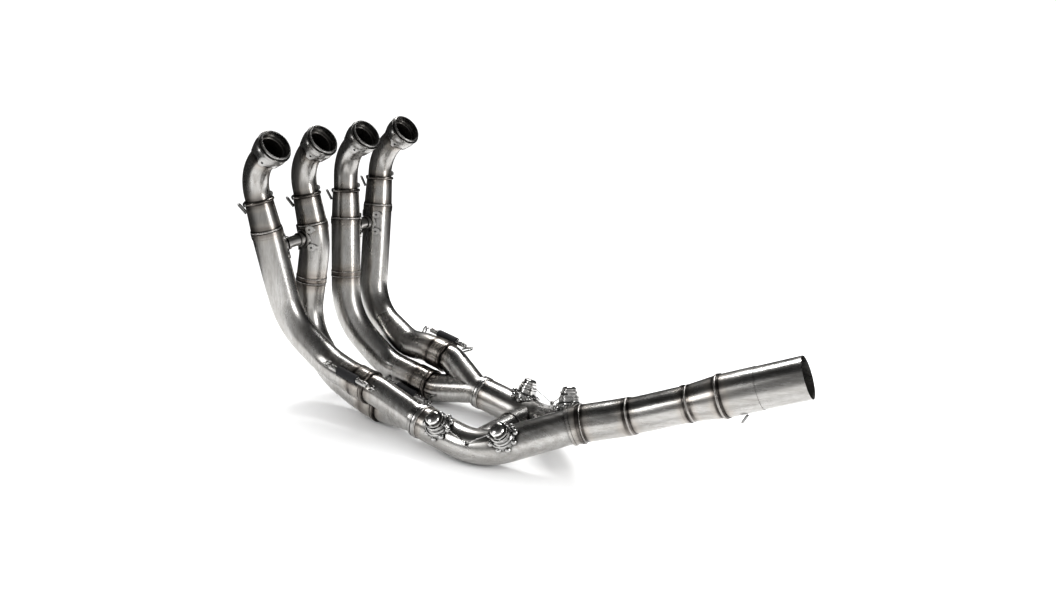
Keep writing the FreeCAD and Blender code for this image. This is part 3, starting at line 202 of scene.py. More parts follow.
class HeaderWelds(bpy.types.PropertyGroup):
    """Sizes of the weld beads."""

    width: FloatProperty(
        name="Bead width",
        description="Width of a weld bead across its seam",
        min=0.0005,
        default=0.0034,
        **LENGTH,
    )
    height: FloatProperty(
        name="Bead height",
        description="Thickness of a weld bead",
        min=0.0001,
        default=0.0011,
        **LENGTH,
    )
    ripple: FloatProperty(
        name="Ripple",
        description="Distance from one ripple of a bead to the next",
        min=0.0003,
        default=0.0012,
        **LENGTH,
    )


class HeaderSprings(bpy.types.PropertyGroup):
    """Sizes of the spring coils and the twisted safety wires."""

    coil_pitch: FloatProperty(
        name="Coil pitch",
        description="Distance from one turn of a spring to the next",
        min=0.0005,
        default=0.0019,
        **LENGTH,
    )
    wire: FloatProperty(
        name="Spring wire",
        description="Thickness of the spring wire",
        min=0.0003,
        default=0.0017,
        **LENGTH,
    )
    loop: FloatProperty(
        name="End loop",
        description="From the middle of a spring's end loop to its coil",
        min=0.001,
        default=0.010,
        **LENGTH,
    )
    strand: FloatProperty(
        name="Strand",
        description="Thickness of one strand of a safety wire",
        min=0.0002,
        default=0.0008,
        **LENGTH,
    )
    twist: FloatProperty(
        name="Twist",
        description="Length of one full twist of a safety wire",
        min=0.001,
        default=0.0045,
        **LENGTH,
    )


class HeaderStage(bpy.types.PropertyGroup):
    """Floor, lights and camera."""

    floor_radius: FloatProperty(
        name="Floor radius",
        description="Radius of the round pale floor",
        default=0.8,
        **LENGTH,
    )
    floor_colour: FloatVectorProperty(
        name="Floor colour",
        description="Colour of the studio floor",
        default=(0.9, 0.9, 0.9),
        **COLOUR,
    )
    camera_place: FloatVectorProperty(
        name="Camera place",
        description="Where the camera stands",
        subtype="TRANSLATION",
        unit="LENGTH",
        size=3,
        default=(0.7617, -1.0840, 0.6427),
    )
    lens: FloatProperty(
        name="Lens",
        description="Focal length of the camera in millimetres",
        min=10.0,
        default=35.284,
    )
    key_power: FloatProperty(
        name="Key light",
        description="Power of the large light overhead",
        default=27.0,
        **POWER,
    )
    right_power: FloatProperty(
        name="Right light",
        description="Power of the light past the outlet",
        default=16.0,
        **POWER,
    )
    front_power: FloatProperty(
        name="Front light",
        description="Power of the tall light on the near side",
        default=9.0,
        **POWER,
    )


def steel_sizes():
    return bpy.context.scene.header_steel


def weld_sizes():
    return bpy.context.scene.header_welds


def spring_sizes():
    return bpy.context.scene.header_springs


def stage_sizes():
    return bpy.context.scene.header_stage


def corners(node):
    """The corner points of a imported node."""
    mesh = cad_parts[node].data
    points = np.empty(len(mesh.vertices) * 3, np.float32)
    mesh.vertices.foreach_get("co", points)
    return points.reshape(-1, 3).astype(float)


def surface(node):
    """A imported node's surface, for measuring distances to it."""
    bm = bmesh.new()
    bm.from_mesh(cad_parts[node].data)
    tree = BVHTree.FromBMesh(bm)
    bm.free()
    return tree


def circle_through(points):
    """Centre, axis and radius of the circle that points lie on."""
    middle = points.mean(axis=0)
    _, _, rows = np.linalg.svd(points - middle, full_matrices=False)
    flat = (points - middle) @ rows[:2].T
    system = np.column_stack((2 * flat, np.ones(len(flat))))
    solved = np.linalg.lstsq(system, (flat ** 2).sum(axis=1), rcond=None)[0]
    centre = middle + solved[0] * rows[0] + solved[1] * rows[1]
    radius = math.sqrt(max(solved[2] + solved[0] ** 2 + solved[1] ** 2, 0.0))
    return centre, rows[2], radius


def touching(node, neighbour):
    """The corner points of one node that lie on another."""
    tree = surface(neighbour)
    found = [p for p in corners(node) if tree.find_nearest(Vector(p), TOUCH)[0] is not None]
    return np.array(found)


def seam(node, neighbour):
    """The round seam where a node meets its neighbour: centre, axis and radius."""
    points = touching(node, neighbour)
    if len(points) < FEWEST_POINTS:
        raise RuntimeError("%s doesn't meet %s" % (node, neighbour))
    centre, axis, _ = circle_through(points)
    away = np.linalg.norm(np.cross(points - centre, axis), axis=1)
    outer = points[away > away.max() - SEAM_EDGE]
    centre, axis, radius = circle_through(outer)
    return Vector(centre), Vector(axis).normalized(), radius


def feed(tree, node, values):
    """Gives inputs of a node, by name or number, plain values or links."""
    for label, value in dict(values).items():
        if isinstance(value, bpy.types.NodeSocket):
            tree.links.new(value, node.inputs[label])
        else:
            node.inputs[label].default_value = value


def add_node(tree, kind, inputs=(), **settings):
    """A new node with its settings and inputs."""
    made = tree.nodes.new(kind)
    for name, value in settings.items():
        setattr(made, name, value)
    feed(tree, made, inputs)
    return made


def add_sockets(tree, inputs):
    """The named inputs of a tree; the value that each starts with tells its kind."""
    kinds = {float: "NodeSocketFloat", int: "NodeSocketInt", tuple: "NodeSocketVector"}
    for label, value in inputs.items():
        kind = kinds.get(type(value), "NodeSocketMaterial")
        socket = tree.interface.new_socket(name=label, in_out="INPUT", socket_type=kind)
        if value is not None:
            socket.default_value = value


def group_with(name, inputs, outputs):
    """An empty shader group, what comes into it and what goes out."""
    group = bpy.data.node_groups.new(name, "ShaderNodeTree")
    add_sockets(group, inputs)
    for label in outputs:
        group.interface.new_socket(name=label, in_out="OUTPUT", socket_type="NodeSocketFloat")
    return group, group.nodes.new("NodeGroupInput").outputs, group.nodes.new("NodeGroupOutput")


def math_node(tree, operation, *values, clamp=False):
    """The result of a Math node."""
    made = add_node(tree, "ShaderNodeMath", enumerate(values), operation=operation, use_clamp=clamp)
    return made.outputs[0]


def product(tree, *factors):
    """The factors multiplied together."""
    total = factors[0]
    for factor in factors[1:]:
        total = math_node(tree, "MULTIPLY", total, factor)
    return total


def stretched(tree, value, gain, lift):
    """A value with more contrast, kept between none and full."""
    return math_node(tree, "MULTIPLY_ADD", value, gain, lift, clamp=True)


def bell(tree, value):
    """One at zero, and falling off to both sides."""
    return math_node(tree, "DIVIDE", 1.0, math_node(tree, "ADD", 1.0, product(tree, value, value)))


def vector_node(tree, operation, *values):
    """The result of a Vector Math node: a number for a dot product or a length, else a vector."""
    made = add_node(tree, "ShaderNodeVectorMath", enumerate(values), operation=operation)
    return made.outputs["Value" if operation in ("DOT_PRODUCT", "LENGTH") else "Vector"]


def scaled_vector(tree, vector, scale):
    """A vector times a number."""
    return add_node(tree, "ShaderNodeVectorMath", {0: vector, "Scale": scale}, operation="SCALE").outputs[0]


def blend_colours(tree, mask, first, second):
    """A Mix node of two colours."""
    return add_node(tree, "ShaderNodeMix", {0: mask, 6: first, 7: second}, data_type="RGBA").outputs[2]


def smooth_range(tree, value, low, high, first, last):
    """A smooth step of a value between two levels."""
    inputs = {"Value": value, "From Min": low, "From Max": high, "To Min": first, "To Max": last}
    return add_node(tree, "ShaderNodeMapRange", inputs, interpolation_type="SMOOTHSTEP").outputs["Result"]


def noise_node(tree, vector, scale, detail=3.0, roughness=0.55):
    """A Noise Texture read at a vector."""
    inputs = {"Vector": vector, "Scale": scale, "Detail": detail, "Roughness": roughness}
    return add_node(tree, "ShaderNodeTexNoise", inputs).outputs[0]


def weld_heat_group():
    """Masks round a seam: the heat with its ragged edge, the pale rim of it, and the burnt line, which is
    partly a dark joint and partly painted shadow and painted dark reflection.
    """
    inputs = {
        "Vector": ORIGIN,
        "Centre": ORIGIN,
        "Axis": ORIGIN,
        "Reach": 0.01,
        "Girth": 0.03,
        "Line width": 0.0025,
    }
    group, start, end = group_with("Weld heat", inputs, ("Mask", "Edge", "Line"))
    vector = start["Vector"]
    away = vector_node(group, "SUBTRACT", vector, start["Centre"])
    distance = math_node(group, "ABSOLUTE", vector_node(group, "DOT_PRODUCT", away, start["Axis"]))
    ragged = math_node(group, "MULTIPLY_ADD", noise_node(group, vector, 90.0, 2.0), 0.9, 0.55)
    scaled = math_node(group, "DIVIDE", distance, product(group, start["Reach"], ragged))
    heat = bell(group, product(group, scaled, scaled))
    rim = bell(group, product(group, math_node(group, "SUBTRACT", scaled, 1.15), 3.2))
    patches = smooth_range(group, noise_node(group, vector, 32.0, 1.0), 0.42, 0.58, 0.3, 1.0)
    nearness = math_node(group, "DIVIDE", distance, start["Line width"])
    line = product(group, smooth_range(group, nearness, 0.75, 1.25, 1.0, 0.0), patches)
    local = math_node(group, "LESS_THAN", vector_node(group, "LENGTH", away), start["Girth"])
    masks = {"Mask": heat, "Edge": rim, "Line": line}
    feed(group, end, {label: product(group, mask, local) for label, mask in masks.items()})
    return group


def tube_grain_group():
    """Fine brush marks and soft clouds of a drawn tube."""
    inputs = {"Vector": ORIGIN, "Along": ORIGIN, "Width": 0.001}
    group, start, end = group_with("Tube grain", inputs, ("Shade", "Cloud", "Height"))
    vector = start["Vector"]
    along = vector_node(group, "DOT_PRODUCT", vector, start["Along"])

    def squeezed(share):
        """The vector with a share of its length along the tube taken out."""
        taken = scaled_vector(group, start["Along"], product(group, along, share))
        return vector_node(group, "SUBTRACT", vector, taken)

    scale = math_node(group, "DIVIDE", 1.0, start["Width"])
    fine = squeezed(0.93)
    marks = noise_node(group, fine, scale, 4.0, 0.6)
    coarse = product(group, noise_node(group, fine, product(group, scale, 0.16), 3.0, 0.6), 0.5)
    outputs = {
        "Shade": math_node(group, "ADD", product(group, marks, 0.5), coarse),
        "Cloud": noise_node(group, squeezed(0.6975), 30.0),
        "Height": math_node(group, "ADD", marks, coarse),
    }
    feed(group, end, outputs)
    return group


def turned_marks_group():
    """Concentric tool marks round an axis."""
    inputs = {"Vector": ORIGIN, "Centre": ORIGIN, "Axis": ORIGIN, "Pitch": 0.0006}
    group, start, end = group_with("Turned marks", inputs, ("Shade", "Height"))
    away = vector_node(group, "SUBTRACT", start["Vector"], start["Centre"])
    along = vector_node(group, "DOT_PRODUCT", away, start["Axis"])
    radius = vector_node(group, "LENGTH", vector_node(group, "CROSS_PRODUCT", away, start["Axis"]))
    scale = math_node(group, "DIVIDE", 1.0, start["Pitch"])
    inputs = {"X": product(group, along, scale), "Y": product(group, radius, scale)}
    place = add_node(group, "ShaderNodeCombineXYZ", inputs).outputs[0]
    marks = noise_node(group, place, 1.0, 2.0, 0.5)
    feed(group, end, {"Shade": marks, "Height": marks})
    return group


def painted_corner_shade_group():
    """Painted shade in corners: a mask from how near other surfaces are, so the steel is darkened where
    shade falls.
    """
    group, start, end = group_with("Painted corner shade", {"Reach": 0.006, "Depth": 0.85}, ("Mask",))
    shade = add_node(group, "ShaderNodeAmbientOcclusion", {"Distance": start["Reach"]}, samples=6)
    corner = smooth_range(group, shade.outputs["AO"], 0.45, 0.97, 1.0, 0.0)
    feed(group, end, {"Mask": product(group, corner, start["Depth"])})
    return group


def shader_group(builder):
    """A shader group, built once and found by its maker afterwards."""
    names = {
        weld_heat_group: "Weld heat",
        tube_grain_group: "Tube grain",
        turned_marks_group: "Turned marks",
        painted_corner_shade_group: "Painted corner shade",
    }
    return bpy.data.node_groups.get(names[builder]) or builder()


def new_material(name):
    """A material with its Principled shader and the Object coordinates."""
    material = bpy.data.materials.new(name)
    material.use_nodes = True
    tree = material.node_tree
    shader = tree.nodes["Principled BSDF"]
    vector = tree.nodes.new("ShaderNodeTexCoord").outputs["Object"]
    return material, tree, shader, vector


def place_group(tree, builder, values):
    """What comes out of a shader group, placed in a material with its own values."""
    return add_node(tree, "ShaderNodeGroup", values, node_tree=shader_group(builder)).outputs


def bump(tree, height, distance):
    """The surface normal that a height gives."""
    inputs = {"Strength": 1.0, "Distance": distance, "Height": height}
    return add_node(tree, "ShaderNodeBump", inputs).outputs[0]


def opaque(colour, share=1.0):
    """A colour, or a share of its brightness, with full alpha."""
    return tuple(value * share for value in colour) + (1.0,)


def metal_finish(tree, shader, colour, mottle_and_shade, roughness, normal):
    """A metal's sockets, with painted shade in its corners: the colour is darkened where other surfaces
    come near.
    """
    corner = place_group(tree, painted_corner_shade_group, {"Reach": steel_sizes().painted_shade_reach, "Depth": mottle_and_shade})
    inputs = {
        "Base Color": blend_colours(tree, corner["Mask"], colour, PAINTED_SHADE_COLOUR),
        "Metallic": 1.0,
        "Roughness": roughness,
        "Normal": normal,
    }
    feed(tree, shader, inputs)


def tube_steel(name, seams=(), along=(0.0, 0.0, 1.0), shade=1.0, line=0.0025):
    """Raw tube steel: brush marks, clouds, heat colour beside its seams and a burnt line along them, partly
    painted shadow and painted dark reflection, with painted shade in its corners.
    """
    sizes = steel_sizes()
    material, tree, shader, vector = new_material(name)
    values = {"Vector": vector, "Along": Vector(along), "Width": sizes.grain_width}
    grain = place_group(tree, tube_grain_group, values)
    # A share of the tube colour; for the taper cones it is painted light and shade.
    base = opaque(sizes.tube_colour, shade)
    dark = tuple(value * share for value, share in zip(base, DARK_STEEL))
    colour = blend_colours(tree, stretched(tree, grain["Shade"], 2.8, -0.85), dark, base)
    clouds = product(tree, stretched(tree, grain["Cloud"], 2.4, -0.95), 0.45)
    colour = blend_colours(tree, clouds, colour, dark)
    # Besides the dark joint, the burnt line paints shadow in the joints' gaps and dark reflections on the
    # bands.
    layers = (
        ("Mask", 0.75, opaque(sizes.heat_colour)),
        ("Edge", 0.35, PALE_RIM),
        ("Line", 0.85, JOINT_AND_PAINTED_SHADOW_LINE),
    )
    for centre, axis, radius in seams:
        values = {
            "Vector": vector,
            "Centre": centre,
            "Axis": axis,
            "Reach": sizes.heat_reach,
            "Girth": radius + SEAM_GIRTH,
            "Line width": line,
        }
        heat = place_group(tree, weld_heat_group, values)
        for label, share, paint in layers:
            colour = blend_colours(tree, product(tree, heat[label], share), colour, paint)
    rough = math_node(tree, "MULTIPLY_ADD", grain["Cloud"], 0.26, sizes.tube_roughness - 0.13)
    rough = math_node(tree, "ADD", rough, product(tree, grain["Shade"], 0.08))
    metal_finish(tree, shader, colour, 0.85, rough, bump(tree, grain["Height"], 0.000012))
    return material


def turned_steel(name, centre, axis, roughness):
    """Turned steel with fine rings round its axis."""
    material, tree, shader, vector = new_material(name)
    base = opaque(steel_sizes().turned_colour)
    dark = opaque(base[:3], 0.55)
    values = {"Vector": vector, "Centre": centre, "Axis": axis, "Pitch": 0.0007}
    marks = place_group(tree, turned_marks_group, values)
    cloud = noise_node(tree, vector, 60.0, 4.0)
    colour = blend_colours(tree, stretched(tree, marks["Shade"], 1.4, -0.2), dark, base)
    colour = blend_colours(tree, product(tree, cloud, 0.35), colour, dark)
    rough = math_node(tree, "MULTIPLY_ADD", cloud, 0.25, roughness - 0.1)
    metal_finish(tree, shader, colour, 0.8, rough, bump(tree, marks["Height"], 0.00005))
    return material


def plain_steel(name, colour, roughness, mottle_and_shade):
    """Small steel pieces: slightly mottled, darker in places."""
    material, tree, shader, vector = new_material(name)
    fine = noise_node(tree, vector, 420.0)
    mask = product(tree, stretched(tree, noise_node(tree, vector, 90.0), 2.2, -0.7), mottle_and_shade)
    mixed = blend_colours(tree, mask, opaque(colour), opaque(colour, 0.45))
    rough = math_node(tree, "MULTIPLY_ADD", fine, 0.2, roughness - 0.1)
    metal_finish(tree, shader, mixed, 0.85, rough, bump(tree, fine, 0.00005))
    return material


def painted_inner_shade():
    """Painted shade: the inner wall of a pipe made dull and near black, as the inside of a pipe looks in
    shade.
    """
    known = bpy.data.materials.get("Inner wall painted shade")
    if known:
        return known
    dark = steel_sizes().inner_shade_colour
    material, tree, shader, vector = new_material("Inner wall painted shade")
    cloud = noise_node(tree, vector, 70.0, 5.0)
    mask = stretched(tree, cloud, 1.8, -0.6)
    inputs = {
        "Base Color": blend_colours(tree, mask, opaque(dark), opaque(dark, 3.2)),
        "Metallic": 0.6,
        "Roughness": math_node(tree, "MULTIPLY_ADD", cloud, 0.3, 0.45),
        "Normal": bump(tree, cloud, 0.0003),
    }
    feed(tree, shader, inputs)
    return material


def rubber():
    """Black rubber of the spring sleeves."""
    dark = steel_sizes().rubber_colour
    material, tree, shader, vector = new_material("Spring sleeve rubber")
    fine = noise_node(tree, vector, 500.0)
    inputs = {
        "Base Color": blend_colours(tree, fine, opaque(dark), opaque(dark, 2.5)),
        "Roughness": math_node(tree, "MULTIPLY_ADD", fine, 0.2, 0.55),
        "Specular IOR Level": 0.25,
        "Normal": bump(tree, fine, 0.0001),
    }
    feed(tree, shader, inputs)
    return material


def ride(piece, slot, *nodes):
    """A finished piece rides on the header and stands for its nodes."""
    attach(piece, "root")
    if nodes:
        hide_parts(*nodes)
    return piece


def new_object(name, data):
    """An object in the scene."""
    made = bpy.data.objects.new(name, data)
    bpy.context.scene.collection.objects.link(made)
    return made


def whole_mesh(node):
    """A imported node's mesh with the corner points of its faces joined."""
    bm = bmesh.new()
    bm.from_mesh(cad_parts[node].data)
    bmesh.ops.remove_doubles(bm, verts=bm.verts, dist=SAME_POINT)
    return bm


def shell(node, slot, *materials):
    """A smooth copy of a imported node; its inner walls get the second material."""
    bm = whole_mesh(node)
    if len(materials) > 1:
        tree = BVHTree.FromBMesh(bm)
        for face in bm.faces:
            middle = face.calc_center_median()
            hit = tree.ray_cast(middle + face.normal * CLEAR_OF_FACE, face.normal, INNER_WALL[1])
            face.material_index = 1 if hit[0] is not None and hit[3] > INNER_WALL[0] else 0
    mesh = bpy.data.meshes.new(node + "_shell")
    bm.to_mesh(mesh)
    bm.free()
    for attribute in [a for a in mesh.attributes if "normal" in a.name]:
        mesh.attributes.remove(attribute)
    mesh.materials.clear()
    for material in materials:
        mesh.materials.append(material)
    mesh.polygons.foreach_set("use_smooth", [True] * len(mesh.polygons))
    mesh.set_sharp_from_angle(angle=SHARP_EDGE)
    return ride(new_object(node + "_shell", mesh), slot, node)


def raw_tube(node, name, *seams, **look):
    """A packed tube in raw steel, with painted shade on its inner walls."""
    shell(node, "raw_steel", tube_steel(name, seams, **look), painted_inner_shade())


def islands(node):
    """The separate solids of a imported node, each as an array of points."""
    bm = whole_mesh(node)
    bm.verts.ensure_lookup_table()
    seen = set()
    found = []
    for vertex in bm.verts:
        if vertex.index in seen:
            continue
        pending = [vertex]
        seen.add(vertex.index)
        members = []
        while pending:
            here = pending.pop()
            members.append(tuple(here.co))
            for edge in here.link_edges:
                other = edge.other_vert(here)
                if other.index not in seen:
                    seen.add(other.index)
                    pending.append(other)
        found.append(np.array(members))
    bm.free()
    return found


def geometry_tree(name, inputs):
    """An empty Geometry Nodes tree and what comes into it."""
    tree = bpy.data.node_groups.new(name, "GeometryNodeTree")
    tree.interface.new_socket(name="Geometry", in_out="INPUT", socket_type="NodeSocketGeometry")
    add_sockets(tree, inputs)
    tree.interface.new_socket(name="Geometry", in_out="OUTPUT", socket_type="NodeSocketGeometry")
    return tree, tree.nodes.new("NodeGroupInput").outputs


def even_curve(tree, lines, step):
    """Lines as a curve with a point at every step."""
    curve = add_node(tree, "GeometryNodeMeshToCurve", {"Mesh": lines}).outputs[0]
    inputs = {"Curve": curve, "Length": step}
    return add_node(tree, "GeometryNodeResampleCurve", inputs, mode="LENGTH").outputs[0]


def finish_tree(tree, start, geometry):
    """Realize Instances and Set Material at the end of a tree."""
    real = add_node(tree, "GeometryNodeRealizeInstances", {0: geometry}).outputs[0]
    painted = add_node(tree, "GeometryNodeSetMaterial", {"Geometry": real, "Material": start["Material"]})
    add_node(tree, "NodeGroupOutput", {0: painted.outputs[0]})
    return tree


def bead_tree():
    """Weld bead: flattened drops laid one over the next along a closed line."""
    known = bpy.data.node_groups.get("Weld bead")
    if known:
        return known
    inputs = {"Ripple": 0.0012, "Width": 0.003, "Height": 0.001, "Seed": 1, "Material": None}
    tree, start = geometry_tree("Weld bead", inputs)
    drop = add_node(tree, "GeometryNodeMeshUVSphere", {"Segments": 8, "Rings": 5, "Radius": 0.5})
    drop = add_node(tree, "GeometryNodeSetShadeSmooth", {"Geometry": drop.outputs["Mesh"]})
    tangent = add_node(tree, "GeometryNodeInputTangent").outputs[0]
    inputs = {"Name": "outward"}
    outward = add_node(tree, "GeometryNodeInputNamedAttribute", inputs, data_type="FLOAT_VECTOR")
    turn = add_node(tree, "FunctionNodeAlignRotationToVector", {"Vector": tangent}, axis="X").outputs[0]
    inputs = {"Rotation": turn, "Vector": outward.outputs["Attribute"]}
    turn = add_node(tree, "FunctionNodeAlignRotationToVector", inputs, axis="Z", pivot_axis="X").outputs[0]
    inputs = {2: 0.88, 3: 1.12, "Seed": start["Seed"]}
    uneven = add_node(tree, "FunctionNodeRandomValue", inputs, data_type="FLOAT").outputs[1]
    inputs = {
        "X": product(tree, start["Ripple"], 2.3),
        "Y": product(tree, start["Width"], uneven),
        "Z": start["Height"],
    }
    size = add_node(tree, "ShaderNodeCombineXYZ", inputs).outputs[0]
    inputs = {
        "Points": even_curve(tree, start["Geometry"], start["Ripple"]),
        "Instance": drop.outputs[0],
        "Rotation": turn,
        "Scale": size,
    }
    laid = add_node(tree, "GeometryNodeInstanceOnPoints", inputs).outputs[0]
    return finish_tree(tree, start, laid)


def coil_tree():
    """Coiled wire: a round wire wound at an even pitch about a path."""
    known = bpy.data.node_groups.get("Coiled wire")
    if known:
        return known
    inputs = {
        "Coil Radius": 0.003,
        "Pitch": 0.002,
        "Phase": 0.0,
        "Wire Radius": 0.0008,
        "Step": 0.0004,
        "Material": None,
    }
    tree, start = geometry_tree("Coiled wire", inputs)
    length = add_node(tree, "GeometryNodeSplineParameter").outputs["Length"]
    tangent = add_node(tree, "GeometryNodeInputTangent").outputs[0]
    normal = add_node(tree, "GeometryNodeInputNormal").outputs[0]
    turns = math_node(tree, "DIVIDE", length, start["Pitch"])
    angle = math_node(tree, "MULTIPLY_ADD", turns, math.tau, start["Phase"])
    across = vector_node(tree, "CROSS_PRODUCT", tangent, normal)
    first = scaled_vector(tree, normal, math_node(tree, "COSINE", angle))
    second = scaled_vector(tree, across, math_node(tree, "SINE", angle))
    away = scaled_vector(tree, vector_node(tree, "ADD", first, second), start["Coil Radius"])
    path = even_curve(tree, start["Geometry"], start["Step"])
    coil = add_node(tree, "GeometryNodeSetPosition", {"Geometry": path, "Offset": away})
    inputs = {"Resolution": 6, "Radius": start["Wire Radius"]}
    profile = add_node(tree, "GeometryNodeCurvePrimitiveCircle", inputs)
    inputs = {"Curve": coil.outputs[0], "Profile Curve": profile.outputs[0], "Fill Caps": True}
    wire = add_node(tree, "GeometryNodeCurveToMesh", inputs).outputs[0]
    smooth = add_node(tree, "GeometryNodeSetShadeSmooth", {"Geometry": wire}).outputs[0]
    return finish_tree(tree, start, smooth)


def line_mesh(name, paths, outward=None):
    """Edges along paths; a closed path is a pair (points, True)."""
    vertices = []
    edges = []
    for points, closed in paths:
        first = len(vertices)
        vertices.extend(tuple(p) for p in points)
        edges.extend((first + i, first + i + 1) for i in range(len(points) - 1))
        if closed:
            edges.append((len(vertices) - 1, first))
    mesh = bpy.data.meshes.new(name)
    mesh.from_pydata(vertices, edges, [])
    if outward is not None:
        layer = mesh.attributes.new("outward", "FLOAT_VECTOR", "POINT")
        layer.data.foreach_set("vector", np.array(outward, float).ravel())
    return mesh


def grown(name, mesh, tree, values):
    """The plain mesh that a Geometry Nodes tree makes of a line mesh."""
    made = new_object(name, mesh)
    modifier = made.modifiers.new("grow", "NODES")
    modifier.node_group = tree
    for item in tree.interface.items_tree:
        if item.item_type == "SOCKET" and item.in_out == "INPUT" and item.name in values:
            modifier[item.identifier] = values[item.name]
    bpy.context.view_layer.update()
    evaluated = made.evaluated_get(bpy.context.evaluated_depsgraph_get())
    result = bpy.data.meshes.new_from_object(evaluated)
    result.name = name
    made.modifiers.remove(modifier)
    made.data = result
    return made


def joined(name, pieces):
    """Several mesh objects as one."""
    bm = bmesh.new()
    materials = []
    for piece in pieces:
        start = len(bm.faces)
        offset = len(materials)
        bm.from_mesh(piece.data)
        bm.faces.ensure_lookup_table()
        for face in bm.faces[start:]:
            face.material_index += offset
        materials.extend(piece.data.materials)
    mesh = bpy.data.meshes.new(name)
    bm.to_mesh(mesh)
    bm.free()
    for material in materials:
        mesh.materials.append(material)
    made = new_object(name, mesh)
    for piece in pieces:
        bpy.data.objects.remove(piece)
    return made


def circle_line(centre, axis, radius, count=96):
    """Points round a circle and the outward direction at each."""
    side = axis.orthogonal().normalized()
    other = axis.cross(side)
    points = []
    outward = []
    for step in range(count):
        angle = math.tau * step / count
        out = side * math.cos(angle) + other * math.sin(angle)
        points.append(centre + out * radius)
        outward.append(out)
    return points, outward


def bead(name, seams, material, width=None, height=None):
    """Rippled weld beads round several seams, as one piece."""
    sizes = weld_sizes()
    paths = []
    outward = []
    for centre, axis, radius in seams:
        points, out = circle_line(centre, axis, radius)
        paths.append((points, True))
        outward.extend(tuple(v) for v in out)
    mesh = line_mesh(name, paths, outward)
    values = {
        "Ripple": sizes.ripple,
        "Width": width or sizes.width,
        "Height": height or sizes.height,
        "Seed": 7,
        "Material": material,
    }
    ride(grown(name, mesh, bead_tree(), values), "raw_steel")


def band_edges(port):
    """The two edges of the welded band on a primary tube, where it has one."""
    if port not in TUBE_BANDS:
        return []
    place, way = TUBE_BANDS[port]
    axis = Vector(way).normalized()
    away = corners("primary_tube_%d" % port) - np.array(place)
    along = away @ np.array(axis)
    out = np.linalg.norm(away - np.outer(along, np.array(axis)), axis=1)
    band = along[(np.abs(along) < BAND_SEARCH) & (np.abs(out - BAND_RADIUS) < BAND_SLACK)]
    if len(band) < FEWEST_POINTS:
        raise RuntimeError("primary tube %d has no band there" % port)
    return [(Vector(place) + axis * edge, axis, BAND_RADIUS) for edge in (band.min(), band.max())]


def skirt_shadow_ring(port):
    """The ring on an inlet bend just under the edge of its collar's skirt, where the heat colour and burnt
    line paint the skirt's shadow on the bend.
    """
    bend = "inlet_bend_%d" % port
    centre, axis, radius = seam("inlet_collar_%d" % port, bend)
    inward = Vector(corners(bend).mean(axis=0)) - centre
    if inward.dot(axis) < 0.0:
        axis = -axis
    return centre + axis * SKIRT_REACH, axis, radius


def known_seams(pairs):
    """The round seams of pairs of nodes."""
    return [seam(first, second) for first, second in pairs]


class HEADER_OT_collars(bpy.types.Operator):
    """Turned inlet collars with their scalloped skirts"""

    bl_idname = "header.collars"
    bl_label = "Inlet collars"

    def execute(self, context):
        for port in PORTS:
            node = "inlet_collar_%d" % port
            centre, axis, _ = seam(node, "inlet_bend_%d" % port)
            metal = turned_steel("Collar steel %d" % port, centre, axis, 0.25)
            shell(node, "machined_steel", metal, painted_inner_shade())
        return {"FINISHED"}


class HEADER_OT_pipes(bpy.types.Operator):
    """Inlet bends, taper cones and primary tubes"""

    bl_idname = "header.pipes"
    bl_label = "Inlet pipes"

    def execute(self, context):
        # Each taper cone gets a darker or lighter copy of the steel: painted shade on cones 1 and 2,
        # painted light on cones 3 and 4.
        for port, shade in zip(PORTS, CONE_PAINTED_LIGHT):
            bend = "inlet_bend_%d" % port
            cone = "taper_cone_%d" % port
            primary = "primary_tube_%d" % port
            joint = seam(cone, bend)
            low = seam(primary, cone)
            sleeve = seam("slip_sleeve_%d" % port, primary)
            # At the skirt's edge the heat colour and burnt line are the painted shadow of the collar's
            # skirt on the bend.
            raw_tube(bend, "Bend steel %d" % port, skirt_shadow_ring(port), joint, line=0.0036)
            raw_tube(cone, "Cone steel %d" % port, joint, low, shade=shade, line=0.0032)
            raw_tube(primary, "Primary steel %d" % port, low, sleeve, *band_edges(port))
        return {"FINISHED"}


class HEADER_OT_crossovers(bpy.types.Operator):
    """Crossover tubes and the lobed saddles round their feet"""

    bl_idname = "header.crossovers"
    bl_label = "Crossovers"

    def execute(self, context):
        for pair in ("12", "34"):
            raw_tube("crossover_tube_" + pair, "Crossover steel " + pair, along=(0, 1, 0))
        shell("crossover_saddles", "raw_steel", tube_steel("Saddle steel", shade=1.1))
        return {"FINISHED"}


class HEADER_OT_collector(bpy.types.Operator):
    """Slip sleeves, collector legs and rings, secondaries and their balance tube"""

    bl_idname = "header.collector"
    bl_label = "Collectors"

    def execute(self, context):
        for port in PORTS:
            sleeve = "slip_sleeve_%d" % port
            leg = "collector_leg_%d" % port
            first = seam(sleeve, "primary_tube_%d" % port)
            last = seam(sleeve, leg)
            raw_tube(sleeve, "Sleeve steel %d" % port, first, last, shade=0.85)
            raw_tube(leg, "Leg steel %d" % port, last)
        for side in SIDES:
            ring = "collector_ring_" + side
            pipe = "secondary_" + side
            centre, axis, _ = seam(ring, pipe)
            shell(ring, "raw_steel", turned_steel("Ring steel " + side, centre, axis, 0.26), painted_inner_shade())
            raw_tube(pipe, "Secondary steel " + side, seam(pipe, ring), along=(1, 0, 0))
        raw_tube("balance_tube", "Balance steel", along=(0, 1, 0))
        raw_tube("balance_sleeve", "Balance sleeve steel", along=(0, 1, 0))
        return {"FINISHED"}


